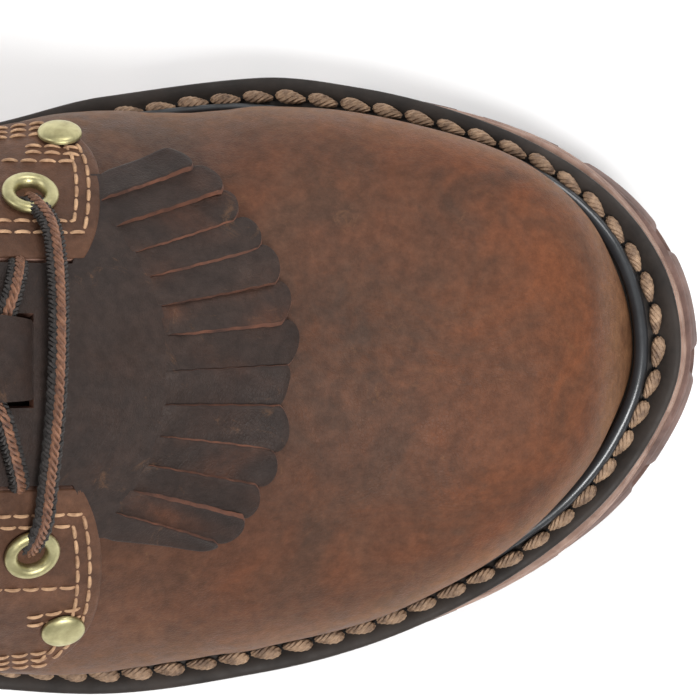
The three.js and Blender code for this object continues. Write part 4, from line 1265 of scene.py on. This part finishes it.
# Strands twisted round a path
def twist(path, radius, strands, pitch, phase):
    tangent = tangents(path)
    across = np.cross(tangent, np.array([0, 0, 1.0]))
    across /= np.linalg.norm(across, axis=1, keepdims=True)
    other = np.cross(across, tangent)
    along = travelled(path)
    parts = []
    for k in range(strands):
        angle = 2 * np.pi * (along / pitch + k / strands) + phase
        away = across * np.cos(angle)[:, None] + other * np.sin(angle)[:, None]
        parts.append(tube(path + away * (radius * 0.52)[:, None], radius * 0.38, 6))
    return parts


def build_welt_stitches():
    out = rim(0.0, STITCH_TOE, 400)
    normal = side_normals(out)
    inset = mix(STITCH_SIDE, STITCH_INSET, ease(out[:, 0] / SOLE_LENGTH, 0.78, 0.94))
    line = out + normal * inset[:, None]
    closed = np.concatenate([line, line[:1]])
    even = resample(closed, STITCH_PITCH / WELT_PARTS)
    disc, disc_faces = lathe([(0.02, -0.3), (0.7, -0.3), (0.62, 0.05), (0.02, 0.06), (0.02, -0.3)], 10)
    threads, hole_shades = [], []
    for i in range(len(even) // WELT_PARTS):
        part = even[i * WELT_PARTS:(i + 1) * WELT_PARTS - 1]
        t = np.linspace(0, 1, len(part))
        height = seat(part[:, 0]) + 0.1 + 0.75 * np.sin(np.pi * t) ** 0.6
        lean = normal_in(part) * (0.55 * (t - 0.4))[:, None]
        path = raised(part + lean, height)
        thick = (0.62 + 0.82 * np.sin(np.pi * t**0.7)) * (0.9 + 0.2 * rng.random())
        threads += twist(path, thick, 5, 5.2, i * 1.9)
        # A near black disc at each stitch's hole: painted shade in the hole
        hole = even[(i + 1) * WELT_PARTS - 1]
        foot = np.array([hole[0], hole[1], seat(hole[0]) - 0.45])
        hole_shades.append((disc + foot, disc_faces.tolist()))
    points, faces = join_tubes(threads)
    add_mesh("welt_stitches", points, faces, [M_CORD])
    points, faces = join_tubes(hole_shades)
    add_mesh("welt_hole_shade", points, faces, [M_HOLE_SHADE])


BEAD_RISE, BEAD_STEP = 1.55, 1.2


def build_bead():
    turns = np.linspace(0.4, 1, 150)
    away = -mix(0.9, 1.5, ease(turns, 0.55, 0.76))
    medial, lateral = both_edges("upper", turns, away)
    path = np.concatenate([medial, lateral[-2::-1]])
    path = resample(raised(path, seat(path[:, 0]) + BEAD_RISE), BEAD_STEP)
    thick = mix(0.8, 1.3, ease(path[:, 0] / SOLE_LENGTH, 0.75, 0.93))
    points, faces = tube(path, thick, 14)
    piece = add_mesh("welt_bead_roll", points, faces, [M_BEAD])
    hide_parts("welt_bead")


LUG_PITCH, SCALLOP_PITCH, SCALLOP_DEEP = 19.0, 24.0, 1.9


# Scallops of the outsole's edge: how far out, from the outline's length run so far
def scallop(path):
    step = np.linalg.norm(np.roll(path, -1, 0) - path, axis=1)
    run = np.concatenate([[0], np.cumsum(step)[:-1]])
    total = step.sum()
    count = max(1, round(total / SCALLOP_PITCH))
    phase = (run / total * count) % 1
    shape = np.clip(np.minimum(phase, 1 - phase) / 0.16, 0, 1)
    return SCALLOP_DEEP * (ease(shape, 0, 1) - 1)


def sole_body(path, top, bottom, detail):
    normal = side_normals(path)
    rows = []
    for share, into in detail:
        inner = path + normal * np.reshape(into, (-1, 1))
        rows.append(raised(inner, mix(bottom(path[:, 0]), top(path[:, 0]), share)))
    return stacked(rows)


# The sole's side slopes out towards the ground round the toe
def toe_weight(x):
    return ease(x / SOLE_LENGTH, 0.66, 0.95)


def build_midsole():
    path = rim(MIDSOLE_INSET, MIDSOLE_TOE)
    x = path[:, 0]
    out = 0.9 * toe_weight(x)
    detail = [
        (0, 0.35 - out), (0.05, 0.05 - out), (0.3, -0.7 * out), (0.46, -0.55 * out), (0.5, 0.3 - 0.5 * out),
        (0.54, -0.45 * out), (0.8, -0.2 * out), (0.95, 0.1 - 0.1 * out), (1, 0.4),
    ]
    points, faces = sole_body(path, midsole_top, midsole_bottom, detail)
    piece = add_mesh("midsole_layers", points, faces, [M_MID])
    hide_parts("midsole")


def build_insole():
    medial, lateral = both_edges("upper", np.linspace(0, 1, 80), WALL + 1.3)
    across = np.linspace(0, 1, 14)[None, :, None]
    flat = mix(lateral[:, None], medial[:, None], across)
    bottom = midsole_top(flat[..., 0]) + SEAT_GAP
    points, faces, _ = slab(raised(flat, bottom + INSOLE_THICK), raised(flat, bottom))
    piece = add_mesh("insole_board", points, faces, [M_LINING], weld=0.01)
    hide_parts("insole")


# Outsole: a scalloped body, lug blocks under it to the ground line, and a shank without lugs
HEEL_SHARE = 0.285
GROOVE = 5.0
CHANNEL_AWAY = 21.0
EDGE_LUG_INSET, EDGE_LUG_STOP = 0.4, 7
MIDDLE_LUG_INSET, MIDDLE_LUG_STOP = 1.5, 4
SHORTEST_LUG = 5
LUG_DRAFT, LUG_ROUND, LUG_STEP = 0.8, 0.7, 2.5


def outline_y(x, side, inset):
    turn = turn_of(np.clip((x - inset) / (SOLE_LENGTH - 2 * inset), 0, 1))
    return edge("sole", turn, side, inset)[..., 1]


# The least distance from the middle line to the sole's edge, at some places
def room(places, sides, inset):
    return min(abs(outline_y(np.array(x), side, inset) - axis_y(x)) for x in places for side in sides)


# A lug: it narrows a little downwards and its lower edge is rounded
def block(corners):
    centre = corners.mean(0)

    def shrunk(by):
        away = corners - centre
        long = np.linalg.norm(away, axis=1, keepdims=True)
        return centre + away * np.clip(1 - by / np.maximum(long, 1e-6), 0.2, 1)

    # How far in, which share of the way down, and how far over the bottom
    levels = [
        (0, 0, 0), (LUG_DRAFT * 0.5, 0.6, 0), (LUG_DRAFT, 1, LUG_ROUND),
        (LUG_DRAFT + LUG_ROUND * 0.3, 1, LUG_ROUND * 0.25), (LUG_DRAFT + LUG_ROUND, 1, 0),
    ]
    rows = []
    for by, share, over in levels:
        ring = shrunk(by)
        rows.append(raised(ring, mix(lug_top(ring[:, 0]), tread_bottom(ring[:, 0]), share) + over))
    points, index = rings(rows)
    faces = between(index[:-1], index[1:]) + [index[0].tolist(), index[-1][::-1].tolist()]
    area = np.cross(corners - centre, np.roll(corners, -1, 0) - centre).sum()
    if area < 0:
        faces = [face[::-1] for face in faces]
    return points, faces


# More corners along the sides, so that a lug follows the bent sole
def subdivide_ring(corners):
    closed = np.concatenate([corners, corners[:1]])
    parts = []
    for a, b in zip(closed[:-1], closed[1:]):
        count = max(1, int(np.linalg.norm(b - a) / LUG_STEP))
        parts.append(a + (b - a) * np.linspace(0, 1, count, endpoint=False)[:, None])
    return np.concatenate(parts)


def tread_bottom(x):
    return seat(x) - FOREFOOT_HEIGHT


def lug_top(x):
    return outsole_bottom(x) + 0.6


def build_outsole():
    path = rim(OUTSOLE_INSET, OUTSOLE_TOE)
    x = path[:, 0]
    wavy = -scallop(path) * ease(x / SOLE_LENGTH, TREAD_FROM - 0.08, TREAD_FROM + 0.05)
    flat = 1.0 - ease(x / SOLE_LENGTH, TREAD_FROM - 0.08, TREAD_FROM)
    slope = 1.2 * toe_weight(x)
    detail = [
        (0, 0.6 + flat + wavy), (0.1, 0.1 + flat + wavy), (0.45, 0.1 + flat + wavy + 0.45 * slope),
        (0.72, 0.1 + flat + 0.7 * wavy + 0.75 * slope), (0.78, 0.3 + flat + 0.5 * wavy + 0.85 * slope),
        (0.84, 0.1 + flat + 0.3 * wavy + 0.9 * slope), (0.97, 0.2 + flat + slope), (1, 0.5 + flat + slope),
    ]
    points, faces = sole_body(path, outsole_top, outsole_bottom, detail)
    piece = add_mesh("outsole_body", points, faces, [M_RUBBER])
    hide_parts("outsole")


def build_lugs():
    parts = []
    start = SOLE_LENGTH * TREAD_FROM
    count = int((SOLE_LENGTH - start) // LUG_PITCH) + 1
    # Lugs along both edges, half a pitch back from the middle ones
    for side in (1, -1):
        for i in range(count):
            x0 = start + i * LUG_PITCH - (LUG_PITCH / 2 if i else 0) + (GROOVE / 2 if i else 0)
            x1 = start + (i + 1) * LUG_PITCH - LUG_PITCH / 2 - GROOVE / 2
            x1 = min(x1, SOLE_LENGTH - EDGE_LUG_STOP)
            inner = CHANNEL_AWAY + GROOVE / 2
            if x1 - x0 < SHORTEST_LUG or room((x0, x1), (side,), EDGE_LUG_INSET) < inner + 4:
                continue
            inner_y = axis_y(x0) + side * inner
            outer = [[x, outline_y(np.array(x), side, EDGE_LUG_INSET)] for x in np.linspace(x0, x1, 7)]
            notch = [[x1 - 1.5, inner_y], [(x0 + x1) / 2, inner_y - side * 1.5], [x0 + 1.5, inner_y]]
            corners = np.concatenate([outer, notch])
            parts.append(block(subdivide_ring(corners)))
    # Lugs down the middle
    for i in range(count):
        x0 = start + i * LUG_PITCH + GROOVE / 2
        x1 = min(start + (i + 1) * LUG_PITCH - GROOVE / 2, SOLE_LENGTH - MIDDLE_LUG_STOP)
        if x1 - x0 < SHORTEST_LUG:
            continue
        half = min(CHANNEL_AWAY - GROOVE / 2, room((x0, x1), (1, -1), MIDDLE_LUG_INSET))
        cy = float(axis_y((x0 + x1) / 2))
        nose = min(3.0, (x1 - x0) / 4)
        back = [[x0, cy + half], [x0 + nose, cy], [x0, cy - half]]
        front = [[x1, cy - half * 0.98], [x1, cy], [x1, cy + half * 0.98]]
        parts.append(block(subdivide_ring(np.array(back + front))))
    points, faces = join_tubes(parts)
    add_mesh("outsole_lugs", points, faces, [M_RUBBER], smooth=False)
    # The toe's last lug follows the outline
    medial, lateral = both_edges("sole", np.linspace(turn_of(0.95), 1, 30), 0.5)
    points, faces = block(np.concatenate([medial, lateral[-2::-1]]))
    add_mesh("outsole_toe_lug", points, faces, [M_RUBBER], smooth=False)


HEEL_GAP = 0.4
# Heel: shares of its height and how far in its side lies there, with a groove between the lifts
HEEL_SIDE = [
    (0.0, 3.6), (0.03, 3.0), (0.27, 2.6), (0.3, 2.2), (0.32, 2.7), (0.36, 2.1), (0.62, 1.6), (0.65, 2.2),
    (0.68, 1.5), (0.97, 1.4), (1.0, 1.9),
]


def build_heel():
    medial, lateral = both_edges("sole", np.linspace(0, turn_of(HEEL_SHARE), 70), 0)
    flat = np.concatenate([medial, lateral[:0:-1]])
    half = (len(flat) - 1) // 2
    normal = side_normals(flat)
    # The front corners move in with the sides beside them
    normal[half], normal[half + 1] = normal[half - 1], normal[half + 2]
    rows = []
    for share, inset in HEEL_SIDE:
        into = flat + normal * inset
        rows.append(raised(into, share * (outsole_bottom(into[:, 0]) - HEEL_GAP)))
    points, faces = stacked(rows)
    piece = add_mesh("heel_block", points, faces, [M_RUBBER])
    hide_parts("heel")


# Rows of stitches
STITCH_LONG, STITCH_RADIUS = 3.4, 0.37
STITCH_PARTS = 8
# The eyestay's rows: how far in from its edge, and how many stations behind its front
EYESTAY_ROWS = [(4.3, 0.0056), (6.3, 0.0112)]
RIVET_ROWS = [0.545, 0.521]
FACING_ROW = 36.5
SEAM_ROWS_DOWN = [2.2, 4.2, 6.2]


def stitch_row(path, normals):
    both = resample(np.concatenate([path, normals], -1), STITCH_LONG / STITCH_PARTS)
    parts = []
    for i in range(len(both) // STITCH_PARTS):
        part = both[i * STITCH_PARTS:(i + 1) * STITCH_PARTS]
        part, up = part[:, :3], part[:, 3:]
        t = np.linspace(0, 1, len(part))
        dip = -0.25 + 0.5 * np.sin(np.pi * t) ** 0.5
        lifted = part + up * dip[:, None]
        thick = STITCH_RADIUS * (0.75 + 0.25 * np.sin(np.pi * t))
        parts.append(tube(lifted, thick, 6, up=up.mean(0), flat=0.8))
    return parts


def form_row(s, q):
    lifted = on_form(s, q, OVER_HIGH + relief(surface(s, q), s, q))
    return stitch_row(lifted, normal_at(s, q))


def build_stitches():
    parts = []
    line = np.linspace(0, 1, 300)
    for side in (1, -1):
        # Two rows down the eyestay, round the corner and along the front edge of the quarter
        place = quarter_place(side)
        for inset_y, ahead in EYESTAY_ROWS:
            start = QUARTER_FRONT + 1e-4
            s_front, q_front = place(np.full(300, start), mix(0.05, 0.93, line))
            near = q_at(s_front + ahead, side * (EYESTAY_HALF + inset_y))
            beyond = np.abs(q_front) > np.abs(near)
            s_front, q_front = s_front[beyond] + ahead, q_front[beyond]
            s_up = mix(float(s_front[0]), 1.77, line)[::-1]
            q_up = q_at(s_up, side * (EYESTAY_HALF + inset_y))
            parts += form_row(np.concatenate([s_up, s_front]), np.concatenate([q_up, q_front]))
        # Two short rows beside the rivet
        for q_away in RIVET_ROWS:
            s_bar = np.linspace(0.397, 0.4245, 60)
            parts += form_row(s_bar, side * np.full(60, q_away))
        # A row on the facing's far side, and three rows back from the rivet along the seam
        s_row = np.linspace(0.399, 1.75, 300)
        parts += form_row(s_row, q_at(s_row, side * FACING_ROW))
        for drop in SEAM_ROWS_DOWN:
            s_low = np.linspace(0.413, 1.0, 240)
            parts += form_row(s_low, side * seam_q(s_low, side, -drop))
        # Heel counter's upper edge
        s_heel = np.linspace(0.7, 1.24, 200)
        q_heel = side * np.minimum(0.99, seam_q(s_heel, side, 3.6) + counter_slant(s_heel))
        parts += form_row(s_heel, q_heel)
        # Back stay and collar band
        s_back = np.linspace(1.4, BAND_BACK - 0.02, 150)
        parts += form_row(s_back, q_at(s_back, np.full(150, side * (BACK_STAY_HALF - 2.2)), True))
        across = np.linspace(0.18, 0.99, 220)
        parts += form_row(band_edge(across) + 0.03, side * across)
    points, faces = join_tubes(parts)
    add_mesh("seam_stitches", points, faces, [M_THREAD])


build_tongue()
build_fringe()
build_eyelets()
build_rivets()
build_lace()
build_welt()
build_welt_stitches()
build_bead()
build_midsole()
build_insole()
build_outsole()
build_lugs()
build_heel()
build_stitches()


# Floor and light
def build_stage():
    size = 4.0
    mesh = bpy.data.meshes.new("floor")
    corners = [(-size, -size, 0), (size, -size, 0), (size, size, 0), (-size, size, 0)]
    mesh.from_pydata(corners, [], [(0, 1, 2, 3)])
    floor = bpy.data.objects.new("floor", mesh)
    bpy.context.scene.collection.objects.link(floor)

    look = Look("floor")
    look.shade(Base_Color=look.ramp(look.noise(3, 2), (0.3, 0.86), (0.7, 0.88)), Roughness=0.9)
    mesh.materials.append(look.made)


def add_light(name, place, target, size, power):
    data = bpy.data.lights.new(name, "AREA")
    data.shape = "DISK"
    data.size = size
    data.energy = power
    lamp = bpy.data.objects.new(name, data)
    lamp.location = place
    lamp.rotation_euler = (Vector(target) - Vector(place)).to_track_quat("-Z", "Y").to_euler()
    bpy.context.scene.collection.objects.link(lamp)


build_stage()
world = bpy.data.worlds.new("world")
bpy.context.scene.world = world
world.use_nodes = True
background = world.node_tree.nodes["Background"].inputs
background["Color"].default_value = (1, 1, 1, 1)
background["Strength"].default_value = 0.55
# Name, place, target, width in metres and power in watts
for lamp_row in (
    ("key", (0.42, -0.5, 1.15), (0.1, 0, 0.03), 0.55, 15),
    ("fill", (0.4, 0.85, 0.8), (0.08, 0, 0.03), 0.6, 7),
    ("back", (-0.9, 0.1, 1.0), (0.0, 0, 0.1), 0.8, 9),
):
    add_light(*lamp_row)
bpy.context.scene.view_settings.view_transform = "Standard"
